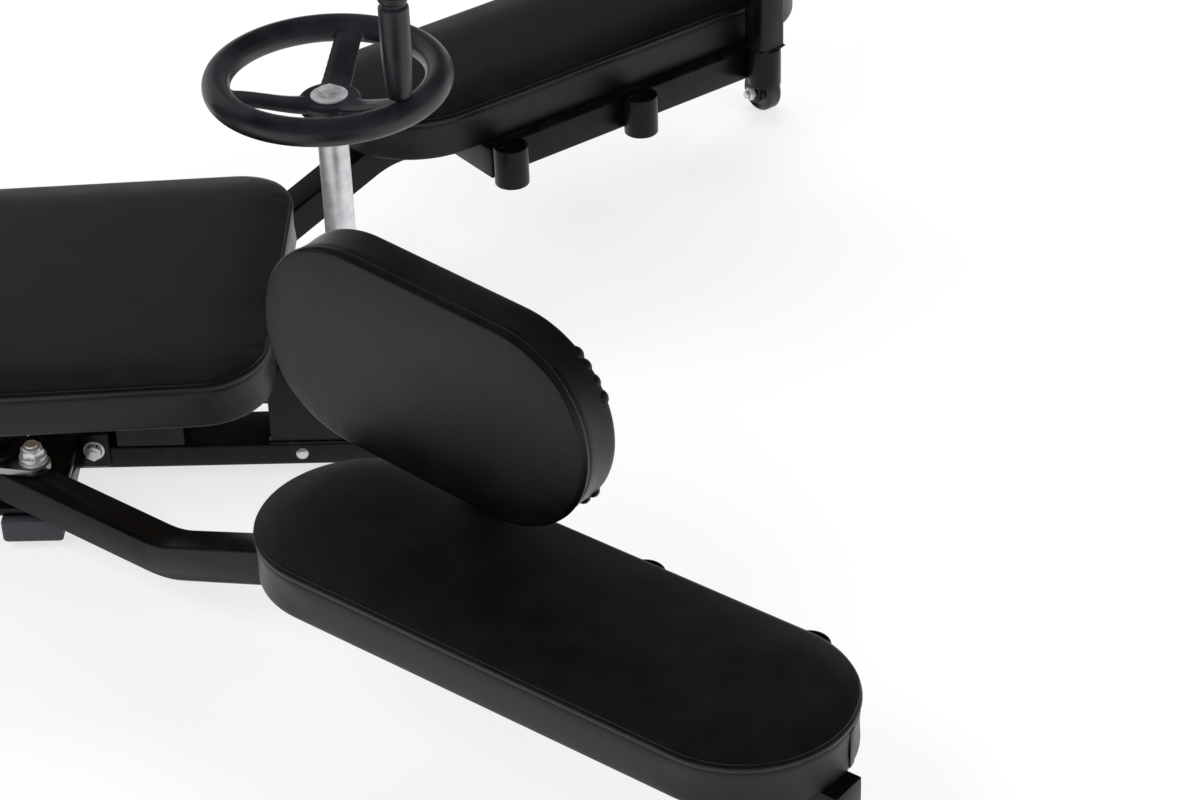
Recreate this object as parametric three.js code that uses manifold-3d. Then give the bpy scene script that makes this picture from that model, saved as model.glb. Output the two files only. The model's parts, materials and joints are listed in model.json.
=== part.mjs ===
// Leg stretching machine: a seat on a low steel base and two padded legs that a handwheel spreads apart.
// Millimetres, +X forward, +Y to the user's left, +Z up. The origin is on the floor under the handwheel.
import * as THREE from 'three';
import { mergeVertices } from 'three/addons/utils/BufferGeometryUtils.js';
import Module from 'manifold-3d';

const wasm = await Module();
wasm.setup();

// Fits and facets
const fit = 0.3;
const overrun = 2;
const weldReach = 1e-4;
const roundSides = 20;
const smallSides = 12;
const cushionSteps = 6;
const cornerSteps = 1;
const hexagonSides = 6;
const bendSteps = 3;
const degree = Math.PI / 180;

// Finishes: colour, roughness, metalness
const blackPaint = [0x17181a, 0.45, 0.3];
const blackVinyl = [0x141519, 0.5, 0];
const zincPlate = [0xb9bcbe, 0.3, 0.9];
const bareSteel = [0x8b8d90, 0.35, 0.9];
const greyPlastic = [0x3a3d45, 0.6, 0];
const blackPlastic = [0x1e1f22, 0.55, 0];
const blackRubber = [0x141414, 0.9, 0];
const plywood = [0xa98a5e, 0.8, 0];

// Base frame
const footHeight = 14;
const footRadius = 22;
const footTaper = 3;
const beamWidth = 73;
const beamHeight = 32;
const beamFrontX = 45;
const tubeWall = 3;
const tubeCorner = 5;
const crossTubeX = -361;
const crossTubeWidth = 70;
const crossTubeHalf = 170;
const crossFootInset = 40;
const rearFootX = -895;
const rearFootHalf = 288;
const rearPadLength = 50;
const capThickness = 12;
const capPlug = 22;
const capRound = 3;

// Leg hinge
const pivotX = -400;
const pivotY = 137;
const plateThickness = 10;
const lowerPlateFrontX = -326;
const lowerPlateRound = 36;
const upperPlateThickness = 8;
const upperPlateRound = 34;
const plateLegReach = 44;
const plateLegThickness = 6;
const plateLegWidth = 28;
const runningGap = 1;
const pivotBoltRadius = 10;
const sleeveRadius = 24;
const largeHexFlats = 30;
const largeNutHeight = 13;
const washerThickness = 3;
const washerRim = 4;
const boltPoint = 4;

// Spreading drive: leg angle from straight ahead at rest, and how far each leg swings from there
const legAngle = 37.6 * degree;
const swingClosed = 20 * degree;
const swingOpen = 45 * degree;
const swingMargin = 15 * degree;
const gearModule = 4;
const sectorTeethRound = 30;
const pressureAngle = 20 * degree;
const gearBacklash = 0.5;
const rootDepthShare = 1.25;
const sectorThickness = 8;
const sectorRim = 10;
const rackBody = 15;
const sectorBoltA = 54;
const sectorBoltB = -9;
const sectorLug = 19;
const sectorBoltRadius = 8;
const sectorHexFlats = 24;
const sectorNutHeight = 12;
const sectorHeadHeight = 5;
const sectorWasherStack = 10;
const flankSteps = 2;

// Lead screw, travelling nut and its yoke
const screwZ = 93;
const screwRadius = 10;
const screwJournal = 8;
const screwTail = 6;
const nutLength = 40;
const nutWidth = 40;
const nutDrop = 17;
const yokeThickness = 11;
const yokeRound = 8;

// Screw bearing on the beam
const bearingLength = 37;
const bearingCheek = 6;
const bearingDrop = 26;
const bearingRise = 24;
const bearingTop = 18;
const bearingHexFlats = 17;
const bearingHeadHeight = 7;

// Gear housing and column
const housingFrontX = 45;
const housingRearX = -98;
const housingHalf = 36.5;
const housingTopZ = 150;
const housingWall = 9;
const housingRound = 14;
const housingBack = 42;
const columnRadius = 21;
const columnTopZ = 252;
const bevelPitchRadius = 24;
const bevelTeeth = 14;
const bevelModule = 3.4;
const bevelFaceShare = 0.45;
const bevelToothShare = 0.42;
const bevelTipShare = 0.5;
const bevelPhaseShare = 0.5;
const bevelHubLength = 14;
const bevelHubRadius = 15;

// Drive shaft, handwheel and crank grip
const shaftRadius = 17.5;
const shaftStubRadius = 10;
const shaftStub = 10;
const wheelZ = 507;
const ringRadius = 124;
const ringTube = 16;
const ringSteps = 36;
const ringTubeSides = 8;
const spokeCount = 3;
const spokeAngle = 81.5 * degree;
const spokeHubWidth = 35;
const spokeRingWidth = 30;
const spokeDepth = 13;
const spokeRoot = 16;
const hubRadius = 35;
const hubBottomZ = 468;
const hubTopZ = 485;
const hubEdge = 4;
const hubBoltRadius = 5;
const hubBoltLength = 16;
const hubWasherRadius = 21;
const hubDomeRadius = 13;
const hubDomeHeight = 8;
const gripAngle = -42.1 * degree;
const gripFromAxis = 114.4;
const gripPinRadius = 6;
const gripPinSink = 12;
const gripLength = 128;
const gripBaseRadius = 13.5;
const gripTopRadius = 17;
const gripCollarHeight = 113;
const gripGroove = 3;
const gripEnd = 8;

// Legs: a runs along the leg from its pivot, b across it with minus towards the middle of the machine
const armWidth = 42;
const armHeight = 43;
const armWall = 2.5;
const armCorner = 2.5;
const armLowTopZ = 105;
const armBendA = 276;
const armRise = 20.9 * degree;
const armBendRadius = 130;
const armEndA = 1178;
const legPadStartA = 458;
const legPadEndA = 1165;
const legPadInnerB = -116;
const legPadOuterB = 112;
const legPadBottomZ = 193;
const legPadSeamZ = 250;
const boardThickness = 12;
const boardInset = 8;
const crownHeight = 6;
const crownShares = [1 / 3, 2 / 3];
const skirtDraw = 3;
const skirtShares = [1 / 3, 2 / 3];
const shoulder = 9;

// Socket rail
const socketFirstA = 612.8;
const socketPitch = 206.2;
const socketCount = 3;
const socketB = -151;
const socketRadius = 22;
const socketWall = 3;
const socketBottomZ = 148;
const socketTopZ = 201;
const railInnerB = -131;
const railWidth = 25;
const railBottomZ = 149;
const railWall = 2.5;
const railCorner = 3;
const railStartReach = 16.8;
const railEndReach = 20.8;

// Upright pads
const postSize = 38;
const postWall = 2.5;
const postCorner = 4;
const postTopZ = 452;
const spigotLength = 44;
const spigotBore = 14;
const mountChannelLength = 210;
const mountChannelHeight = 60;
const mountChannelWall = 4;
const uprightPadLength = 424;
const uprightPadHeight = 232;
const uprightPadThickness = 52;
const uprightPadZ = 400;
const uprightPadBack = 45;
const uprightPadDroop = 4.7 * degree;
const uprightSocketSteps = { left: 2, right: 0 };

// Castors under the leg ends
const castorA = 1153;
const castorB = 8;
const castorRadius = 29;
const castorWidth = 25;
const castorHubRadius = 13;
const castorDish = 4;
const castorRound = 4;
const forkPlate = 4;
const forkGap = 1.5;
const forkLobe = 15;
const forkCrownGap = 8;
const forkPostA = 30;
const forkPostB = 36;
const castorAxleRadius = 5;
const castorNutFlats = 17;
const castorNutHeight = 9;
const castorAxleTail = 5;

// Seat
const seatFrontX = -71;
const seatRearX = -500;
const seatHalf = 232;
const seatCorner = 75;
const seatBottomZ = 197;
const seatSkirt = 56;
const seatTilt = 2 * degree;
const supportPlate = 6;
const supportCorner = 10;
const frontSupportX = -240;
const rearSupportX = -485;
const frontSupportLength = 80;
const rearSupportLength = 56;

// Backrest
const backPivotX = -566;
const backPivotZ = 176;
const backLean = 20 * degree;
const backForward = 8 * degree;
const backRecline = 45 * degree;
const backCheekThickness = 6;
const backCheekLobe = 22;
const backCheekFootFrontX = -530;
const backCheekFootRearX = -640;
const backBasePlate = 8;
const backPinRadius = 8;
const backPinHead = 13;
const backPinHeadHeight = 7;
const spineWidth = 50;
const spineDepth = 30;
const spineOverhang = 6;
const spineTail = 24;
const slotRadius = 66;
const clampRadius = 6;
const clampKnobRadius = 24;
const clampKnobHeight = 20;
const clampLobes = 5;
const clampLobeDepth = 3;
const clampLobeSteps = 8;
const padBarThickness = 8;
const padBarHeight = 50;
const padBarHalf = 150;
const padBarShares = [0.25, 0.75];
const backPadStart = 104;
const backPadLength = 520;
const backPadHalf = 205;
const backPadCorner = 70;
const backPadThickness = 56;

// Worked out once from the sizes above
const beamTopZ = footHeight + beamHeight;
const beamMiddleZ = footHeight + beamHeight / 2;
const lowerPlateZ = beamTopZ + fit;
const lowerPlateTopZ = lowerPlateZ + plateThickness;
const sectorZ = armLowTopZ + fit;
const sectorTopZ = sectorZ + sectorThickness;
const upperPlateZ = sectorTopZ + runningGap;
const upperPlateTopZ = upperPlateZ + upperPlateThickness;
const sectorPitchRadius = gearModule * sectorTeethRound / 2;
const toothPitch = Math.PI * gearModule;
const toothAngle = toothPitch / sectorPitchRadius;
const rackPitchY = pivotY - sectorPitchRadius;
const firstTooth = -Math.round((swingOpen + swingMargin) / toothAngle);
const lastTooth = Math.round((swingClosed + swingMargin) / toothAngle);
const spigotRadius = socketRadius - socketWall - fit;
const spineLength = backPadStart + padBarShares.at(-1) * backPadLength + padBarHeight / 2 + spineOverhang;
const railStartA = socketFirstA - railStartReach;
const railEndA = socketFirstA + (socketCount - 1) * socketPitch + railEndReach;
const bearingX = crossTubeX + crossTubeWidth / 2 + runningGap + bearingLength / 2;

// Closes a mesh: shared vertices, no empty triangles, faces pointing out.
function closed(geometry) {
  const bare = geometry.clone();
  for (const name of ['normal', 'uv', 'uv1']) bare.deleteAttribute(name);
  const merged = mergeVertices(bare, weldReach);
  const points = merged.attributes.position;
  const corner = [new THREE.Vector3(), new THREE.Vector3(), new THREE.Vector3()];
  const index = [];
  let volume = 0;
  for (let i = 0; i < merged.index.count; i += 3) {
    const face = [0, 1, 2].map((k) => merged.index.getX(i + k));
    if (new Set(face).size < 3) continue;
    face.forEach((vertex, k) => corner[k].fromBufferAttribute(points, vertex));
    volume += corner[0].dot(corner[1].clone().cross(corner[2]));
    index.push(...face);
  }
  if (volume < 0) index.reverse();
  merged.setIndex(index);
  return merged;
}

// A geometry as a solid that can be joined and cut, and back again.
function toSolid(geometry) {
  const mesh = closed(geometry);
  return new wasm.Manifold(new wasm.Mesh({
    numProp: 3,
    vertProperties: new Float32Array(mesh.attributes.position.array),
    triVerts: new Uint32Array(mesh.index.array),
  }));
}

function fromSolid(solid) {
  const { vertProperties, triVerts } = solid.getMesh();
  const geometry = new THREE.BufferGeometry();
  geometry.setAttribute('position', new THREE.BufferAttribute(new Float32Array(vertProperties), 3));
  geometry.setIndex(new THREE.BufferAttribute(new Uint32Array(triVerts), 1));
  return geometry;
}

function join(...pieces) {
  return fromSolid(pieces.map(toSolid).reduce((whole, piece) => whole.add(piece)));
}

function cut(body, ...tools) {
  return fromSolid(tools.reduce((left, tool) => left.subtract(toSolid(tool)), toSolid(body)));
}

// Plain shapes
function block(x0, x1, y0, y1, z0, z1) {
  const box = new THREE.BoxGeometry(x1 - x0, y1 - y0, z1 - z0);
  return box.translate((x0 + x1) / 2, (y0 + y1) / 2, (z0 + z1) / 2);
}

function rod(radius, from, to, sides = roundSides, topRadius = radius) {
  const cylinder = new THREE.CylinderGeometry(topRadius, radius, to - from, sides);
  return cylinder.rotateX(Math.PI / 2).translate(0, 0, (from + to) / 2);
}

// A clearance hole for a round piece of the given radius: its flats clear the piece all round.
function hole(radius, from, to, sides = roundSides) {
  return rod((radius + fit) / Math.cos(Math.PI / sides), from, to, sides);
}

function hexagon(flats, from, to) {
  return rod(flats / 2 / Math.cos(Math.PI / hexagonSides), from, to, hexagonSides);
}

// A profile of [radius, height] points, from the axis back to the axis, turned about Z.
function turned(profile, sides = roundSides) {
  const points = profile.map(([radius, height]) => new THREE.Vector2(radius, height));
  return new THREE.LatheGeometry(points, sides).rotateX(Math.PI / 2);
}

// A closed outline through [x, y, radius] corners, each rounded by its own radius.
function outline(corners) {
  const shape = new THREE.Shape();
  corners.forEach(([x, y, radius = 0], i) => {
    const corner = new THREE.Vector2(x, y);
    const [beforeX, beforeY] = corners[(i + corners.length - 1) % corners.length];
    const [afterX, afterY] = corners[(i + 1) % corners.length];
    const before = new THREE.Vector2(beforeX, beforeY).sub(corner).normalize();
    const after = new THREE.Vector2(afterX, afterY).sub(corner).normalize();
    if (radius <= 0) {
      if (i === 0) shape.moveTo(x, y);
      else shape.lineTo(x, y);
      return;
    }
    const half = Math.acos(before.dot(after)) / 2;
    const start = before.clone().multiplyScalar(radius / Math.tan(half)).add(corner);
    const end = after.clone().multiplyScalar(radius / Math.tan(half)).add(corner);
    const centre = before.clone().add(after).normalize().multiplyScalar(radius / Math.sin(half)).add(corner);
    const from = Math.atan2(start.y - centre.y, start.x - centre.x);
    const to = Math.atan2(end.y - centre.y, end.x - centre.x);
    if (i > 0) shape.lineTo(start.x, start.y);
    shape.absarc(centre.x, centre.y, radius, from, to, after.cross(before) < 0);
  });
  return shape;
}

function roundRect(width, height, radius, x = 0, y = 0) {
  const [w, h] = [width / 2, height / 2];
  const corners = [[x + w, y + h], [x - w, y + h], [x - w, y - h], [x + w, y - h]];
  return outline(corners.map((corner) => [...corner, radius]));
}

function disc(radius, x = 0, y = 0) {
  const shape = new THREE.Shape();
  shape.absarc(x, y, radius, 0, 2 * Math.PI);
  return shape;
}

// The outline round two circles, such as a strap or a link plate.
function strap(x0, y0, r0, x1, y1, r1) {
  const along = Math.atan2(y1 - y0, x1 - x0);
  const open = Math.acos((r0 - r1) / Math.hypot(x1 - x0, y1 - y0));
  const shape = new THREE.Shape();
  shape.absarc(x1, y1, r1, along - open, along + open);
  shape.absarc(x0, y0, r0, along + open, along - open + 2 * Math.PI);
  return shape;
}

function extrude(shape, from, to, curveSegments = cornerSteps) {
  const options = { depth: to - from, bevelEnabled: false, curveSegments };
  return new THREE.ExtrudeGeometry(shape, options).translate(0, 0, from);
}

// An extrusion whose long edges are rounded, its outline and its length as given.
function softExtrude(shape, from, to, round, curveSegments = cornerSteps) {
  const depth = to - from - 2 * round;
  const edge = { bevelThickness: round, bevelSize: round, bevelOffset: -round, bevelSegments: 1 };
  const options = { depth, bevelEnabled: true, curveSegments, ...edge };
  return new THREE.ExtrudeGeometry(shape, options).translate(0, 0, from + round);
}

// Turns length along Z to lie along X (width goes to Y) or along Y (width goes to Z).
const alongX = (geometry) => geometry.rotateX(Math.PI / 2).rotateZ(Math.PI / 2);
const alongY = (geometry) => alongX(alongX(geometry));

// Turns an outline drawn in X and Z, extruded from y0 to y1.
function sideView(shape, y0, y1, curveSegments = cornerSteps) {
  return extrude(shape, -y1, -y0, curveSegments).rotateX(Math.PI / 2);
}

function boxTube(width, height, wall, corner, from, to) {
  const shape = roundRect(width, height, corner);
  shape.holes.push(roundRect(width - 2 * wall, height - 2 * wall, corner - wall));
  return extrude(shape, from, to);
}

// A skin over rings with the same number of points, closed at both ends.
function loft(rings) {
  const count = rings[0].length;
  const middle = (ring) => (
    ring.reduce((sum, point) => sum.add(point), new THREE.Vector3()).divideScalar(count));
  const points = [...rings.flat(), middle(rings[0]), middle(rings.at(-1))];
  const index = [];
  for (let i = 0; i < count; i += 1) {
    const next = (i + 1) % count;
    for (let ring = 0; ring < rings.length - 1; ring += 1) {
      const low = ring * count;
      const high = low + count;
      index.push(low + i, low + next, high + next, low + i, high + next, high + i);
    }
    const top = (rings.length - 1) * count;
    index.push(points.length - 2, next, i, points.length - 1, top + i, top + next);
  }
  const geometry = new THREE.BufferGeometry().setFromPoints(points);
  geometry.setIndex(index);
  return geometry;
}

// A cushion on the XY plane: a skirt drawn in at mid height, a seam, a rolled shoulder and a crown.
function cushion(length, width, corner, skirt, steps) {
  const [lowCrown, highCrown] = crownShares.map((share) => skirt + share * crownHeight);
  const levels = [
    [0, 0], ...skirtShares.map((share) => [skirtDraw, share * skirt]), [0, skirt],
    [shoulder / 2, lowCrown], [2 * shoulder, highCrown], [corner / 2 + shoulder, skirt + crownHeight],
  ];
  return loft(levels.map(([inset, z]) => {
    const radius = Math.max(corner - inset, shoulder);
    const [x, y] = [length / 2 - inset - radius, width / 2 - inset - radius];
    return [[x, y], [-x, y], [-x, -y], [x, -y]].flatMap(([cx, cy], quarter) => (
      Array.from({ length: steps + 1 }, (_, k) => {
        const angle = (quarter + k / steps) * Math.PI / 2;
        return new THREE.Vector3(cx + radius * Math.cos(angle), cy + radius * Math.sin(angle), z);
      })));
  }));
}

// A board that lies in a cushion's underside, and the cushion with the room for it.
function boardShape(length, width, corner) {
  return roundRect(length - 2 * boardInset, width - 2 * boardInset, corner - boardInset);
}

function cushionOverBoard(length, width, corner, skirt, steps) {
  const room = roundRect(
    length - 2 * boardInset + 2 * fit, width - 2 * boardInset + 2 * fit, corner - boardInset + fit);
  const body = cushion(length, width, corner, skirt, steps);
  return cut(body, extrude(room, -overrun, boardThickness + fit, steps));
}

function part(name, geometry, [color, roughness, metalness]) {
  const finish = new THREE.MeshStandardMaterial({ color, roughness, metalness });
  const mesh = new THREE.Mesh(closed(geometry), finish);
  mesh.name = name;
  return mesh;
}

// Base frame: beam, hinge cross tubes, rear foot tube, end caps and feet
function endCap(width, height) {
  const room = tubeWall + fit;
  const slab = softExtrude(roundRect(width, height, tubeCorner), fit, capThickness, capRound);
  const plugShape = roundRect(width - 2 * room, height - 2 * room, tubeCorner - tubeWall);
  return join(slab, extrude(plugShape, -capPlug, capThickness / 2));
}

function rubberFoot(height) {
  return rod(footRadius, 0, height, roundSides, footRadius - footTaper);
}

function baseFrame() {
  const group = new THREE.Group();
  const beamRearX = rearFootX + crossTubeWidth / 2 + fit;
  const beam = alongX(boxTube(beamWidth, beamHeight, tubeWall, tubeCorner, beamRearX, beamFrontX));
  group.add(part('main_beam', beam.translate(0, 0, beamMiddleZ), blackPaint));
  const frontCap = alongX(endCap(beamWidth, beamHeight)).translate(beamFrontX, 0, beamMiddleZ);
  group.add(part('beam_front_cap', frontCap, greyPlastic));
  group.add(part('column_foot', rubberFoot(footHeight - fit), blackRubber));
  const rearTube = alongY(
    boxTube(beamHeight, crossTubeWidth, tubeWall, tubeCorner, -rearFootHalf, rearFootHalf));
  group.add(part('rear_foot_tube', rearTube.translate(rearFootX, 0, beamMiddleZ), blackPaint));
  for (const [side, sign] of [['left', 1], ['right', -1]]) {
    const stub = alongY(
      boxTube(beamHeight, crossTubeWidth, tubeWall, tubeCorner, beamWidth / 2 + fit, crossTubeHalf));
    const cap = alongY(endCap(beamHeight, crossTubeWidth)).translate(0, crossTubeHalf, 0);
    const rearCap = alongY(endCap(beamHeight, crossTubeWidth)).translate(0, rearFootHalf, beamMiddleZ);
    const rearPad = softExtrude(
      roundRect(
        crossTubeWidth, rearPadLength, tubeCorner, 0, rearFootHalf + capThickness - rearPadLength / 2),
      0, footHeight - fit, capRound);
    const rearLip = block(
      -crossTubeWidth / 2 + tubeCorner, crossTubeWidth / 2 - tubeCorner, rearFootHalf + capRound,
      rearFootHalf + capThickness - capRound, footHeight / 2, beamMiddleZ);
    const rearFoot = join(rearCap, rearPad, rearLip);
    const foot = rubberFoot(footHeight - fit).translate(crossTubeX, crossTubeHalf - crossFootInset, 0);
    stub.translate(crossTubeX, 0, beamMiddleZ);
    cap.translate(crossTubeX, 0, beamMiddleZ);
    rearFoot.translate(rearFootX, 0, 0);
    const pieces = [
      part(`hinge_tube_${side}`, stub, blackPaint),
      part(`hinge_cap_${side}`, cap, greyPlastic),
      part(`hinge_foot_${side}`, foot, blackRubber),
      part(`rear_foot_${side}`, rearFoot, greyPlastic),
    ];
    const half = new THREE.Group();
    half.scale.y = sign;
    half.add(...pieces);
    group.add(half);
  }
  return group;
}

// Leg hinge: a plate on the cross tubes, a link plate above the arms and a stud through each arm's sleeve
function hinge() {
  const group = new THREE.Group();
  const studHole = hole(pivotBoltRadius, lowerPlateZ - overrun, upperPlateTopZ + overrun, smallSides);
  const studs = [pivotY, -pivotY].map((y) => studHole.clone().translate(pivotX, y, 0));
  const rearX = pivotX - lowerPlateRound;
  const halfY = pivotY + lowerPlateRound;
  const lower = extrude(outline([
    [lowerPlateFrontX, halfY, tubeCorner], [rearX, halfY, lowerPlateRound],
    [rearX, -halfY, lowerPlateRound], [lowerPlateFrontX, -halfY, tubeCorner],
  ]), lowerPlateZ, lowerPlateTopZ, bendSteps);
  group.add(part('hinge_plate_lower', cut(lower, ...studs), blackPaint));
  const linkShape = strap(pivotX, -pivotY, upperPlateRound, pivotX, pivotY, upperPlateRound);
  const link = extrude(linkShape, upperPlateZ, upperPlateTopZ, 2 * bendSteps);
  const legRearX = pivotX - plateLegReach;
  const legEndY = pivotY + plateLegWidth;
  const rearStrip = block(legRearX, pivotX, -legEndY, legEndY, upperPlateZ, upperPlateTopZ);
  const legs = [pivotY, -pivotY - plateLegWidth].map((y) => block(
    legRearX, legRearX + plateLegThickness, y, y + plateLegWidth,
    lowerPlateTopZ + fit, upperPlateTopZ - fit));
  group.add(part('hinge_plate_upper', cut(join(link, rearStrip, ...legs), ...studs), blackPaint));
  for (const [side, sign] of [['left', 1], ['right', -1]]) {
    const washerTop = upperPlateTopZ + fit + washerThickness;
    const stud = join(
      rod(pivotBoltRadius, lowerPlateZ, washerTop + largeNutHeight + boltPoint, smallSides),
      rod(largeHexFlats / 2 + washerRim, upperPlateTopZ + fit, washerTop + fit),
      hexagon(largeHexFlats, washerTop, washerTop + largeNutHeight));
    group.add(part(`pivot_bolt_${side}`, stud.translate(pivotX, sign * pivotY, 0), blackPaint));
  }
  return group;
}

// Sector gear: involute teeth round its pivot, drawn with the middle tooth's direction at angle zero
function involuteTooth(middle) {
  const baseRadius = sectorPitchRadius * Math.cos(pressureAngle);
  const tipRadius = sectorPitchRadius + gearModule;
  const rootRadius = sectorPitchRadius - rootDepthShare * gearModule;
  const involute = (radius) => {
    const pressure = Math.acos(Math.min(1, baseRadius / radius));
    return Math.tan(pressure) - pressure;
  };
  const halfAtPitch = (toothPitch / 2 - gearBacklash / 2) / 2 / sectorPitchRadius;
  const halfAt = (radius) => halfAtPitch + involute(sectorPitchRadius) - involute(radius);
  const flank = [[rootRadius, halfAt(baseRadius)]];
  for (let i = 0; i <= flankSteps; i += 1) {
    const radius = baseRadius + (tipRadius - baseRadius) * i / flankSteps;
    flank.push([radius, halfAt(radius)]);
  }
  const rise = flank.map(([radius, half]) => [radius, middle - half]);
  const fall = flank.map(([radius, half]) => [radius, middle + half]).reverse();
  return [...rise, ...fall];
}

function sectorGear() {
  const shape = new THREE.Shape();
  shape.moveTo(0, 0);
  const inboard = -Math.PI / 2 - legAngle;
  for (let tooth = firstTooth; tooth <= lastTooth; tooth += 1) {
    for (const [radius, angle] of involuteTooth(inboard + tooth * toothAngle)) {
      shape.lineTo(radius * Math.cos(angle), radius * Math.sin(angle));
    }
  }
  const hub = disc(sleeveRadius + sectorRim);
  const lug = strap(0, 0, sleeveRadius + sectorRim, sectorBoltA, sectorBoltB, sectorLug);
  const layer = (outlineShape) => extrude(outlineShape, sectorZ, sectorTopZ, 2 * bendSteps);
  const boltHole = hole(sectorBoltRadius, 0, sectorTopZ + overrun, smallSides);
  return cut(
    join(layer(shape), layer(hub), layer(lug)),
    hole(sleeveRadius, 0, sectorTopZ + overrun), boltHole.translate(sectorBoltA, sectorBoltB, 0));
}

// Travelling nut with its yoke and the two racks
function rackShape() {
  const shape = new THREE.Shape();
  const halfAtPitch = (toothPitch / 2 - gearBacklash / 2) / 2;
  const slope = Math.tan(pressureAngle);
  const rootY = rackPitchY - rootDepthShare * gearModule;
  const tipY = rackPitchY + gearModule;
  shape.moveTo(pivotX + firstTooth * toothPitch, rootY - rackBody);
  shape.lineTo(pivotX + lastTooth * toothPitch, rootY - rackBody);
  for (let gap = lastTooth; gap > firstTooth; gap -= 1) {
    const middle = pivotX + gap * toothPitch - toothPitch / 2;
    const half = (y) => halfAtPitch - (y - rackPitchY) * slope;
    if (gap === lastTooth) shape.lineTo(pivotX + gap * toothPitch, rootY);
    shape.lineTo(middle + half(rootY), rootY);
    shape.lineTo(middle + half(tipY), tipY);
    shape.lineTo(middle - half(tipY), tipY);
    shape.lineTo(middle - half(rootY), rootY);
  }
  shape.lineTo(pivotX + firstTooth * toothPitch, rootY);
  return shape;
}

function rackCarriage() {
  const rack = extrude(rackShape(), sectorZ, sectorTopZ);
  const reach = rackPitchY - rootDepthShare * gearModule;
  const yoke = softExtrude(
    roundRect(nutLength, 2 * reach, yokeRound), sectorZ - yokeThickness, sectorZ + fit, fit);
  const nut = block(-nutLength / 2, nutLength / 2, -nutWidth / 2, nutWidth / 2, screwZ - nutDrop, sectorZ);
  const bore = alongX(hole(screwRadius, -nutLength, nutLength));
  const middle = cut(join(yoke, nut), bore.translate(0, 0, screwZ)).translate(pivotX, 0, 0);
  return join(middle, rack, rack.clone().scale(1, -1, 1));
}

// Bevel gear about Z with its apex at the origin: the tooth rings of both ends shrink towards the apex.
function bevelGear(toothPhase, bore) {
  const tip = bevelModule * Math.SQRT1_2;
  const root = rootDepthShare * bevelModule * Math.SQRT1_2;
  const pitch = 2 * Math.PI / bevelTeeth;
  const ring = (share) => Array.from({ length: bevelTeeth }, (_, tooth) => {
    const middle = (tooth + toothPhase) * pitch;
    const rootHalf = bevelToothShare * pitch / 2 + bevelTipShare * bevelToothShare * pitch / 4;
    const tipHalf = bevelTipShare * bevelToothShare * pitch / 2;
    return [[-rootHalf, -root], [-tipHalf, tip], [tipHalf, tip], [rootHalf, -root]].map(([turn, height]) => {
      const radius = (bevelPitchRadius + height) * share;
      const angle = middle + turn;
      const z = (bevelPitchRadius - height) * share;
      return new THREE.Vector3(radius * Math.cos(angle), radius * Math.sin(angle), z);
    });
  }).flat();
  const teeth = loft([ring(1 - bevelFaceShare), ring(1)]);
  const hub = rod(bevelHubRadius, bevelPitchRadius, bevelPitchRadius + bevelHubLength);
  return cut(join(teeth, hub), hole(bore, 0, bevelPitchRadius + bevelHubLength + overrun, smallSides));
}

function screwBearing() {
  const half = bearingLength / 2;
  const cheekHalf = beamWidth / 2 + fit + bearingCheek;
  const saddle = softExtrude(
    roundRect(bearingLength, 2 * cheekHalf, tubeCorner),
    beamTopZ - bearingDrop, beamTopZ + bearingRise, capRound);
  const pillarShape = strap(0, screwZ, bearingTop, 0, beamTopZ + bearingTop, bearingTop);
  const pillar = sideView(pillarShape, -half, half, 2 * bendSteps).rotateZ(Math.PI / 2);
  const beamRoom = block(
    -half - overrun, half + overrun, -beamWidth / 2 - fit, beamWidth / 2 + fit,
    beamTopZ - bearingDrop - overrun, beamTopZ + fit);
  const bolt = alongY(hexagon(bearingHexFlats, cheekHalf - fit, cheekHalf + bearingHeadHeight));
  const bolts = [bolt, bolt.clone().rotateZ(Math.PI)].map((head) => head.translate(0, 0, beamTopZ));
  const bore = alongX(hole(screwRadius, -bearingLength, bearingLength)).translate(0, 0, screwZ);
  return cut(join(saddle, pillar, ...bolts), beamRoom, bore).translate(bearingX, 0, 0);
}

// Gear housing with the column tube welded on top
function gearHousing() {
  const shape = outline([
    [housingFrontX, lowerPlateZ], [housingFrontX, housingTopZ, housingRound],
    [housingRearX, housingTopZ, housingRound], [housingRearX, lowerPlateZ],
  ]);
  const body = sideView(shape, -housingHalf, housingHalf, bendSteps);
  const column = rod(columnRadius, housingTopZ - housingWall, columnTopZ);
  const room = block(
    -housingBack, housingFrontX - housingWall,
    -housingHalf + housingWall / 2, housingHalf - housingWall / 2,
    beamTopZ - overrun, housingTopZ - housingWall);
  const shaftBore = hole(shaftRadius, housingTopZ - housingWall - overrun, columnTopZ + overrun);
  const screwBore = alongX(hole(screwJournal, housingRearX - overrun, 0, smallSides));
  return cut(join(body, column), room, shaftBore, screwBore.translate(0, 0, screwZ));
}

function leadScrew() {
  const rear = pivotX - sectorPitchRadius * swingClosed - nutLength / 2 - screwTail;
  const shoulderX = housingRearX - fit;
  return alongX(turned([
    [0, rear], [screwRadius - fit, rear], [screwRadius, rear + screwTail], [screwRadius, shoulderX],
    [screwJournal, shoulderX], [screwJournal, -bevelPitchRadius * (1 - bevelFaceShare)],
    [0, -bevelPitchRadius * (1 - bevelFaceShare)],
  ], roundSides)).translate(0, 0, screwZ);
}

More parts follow.
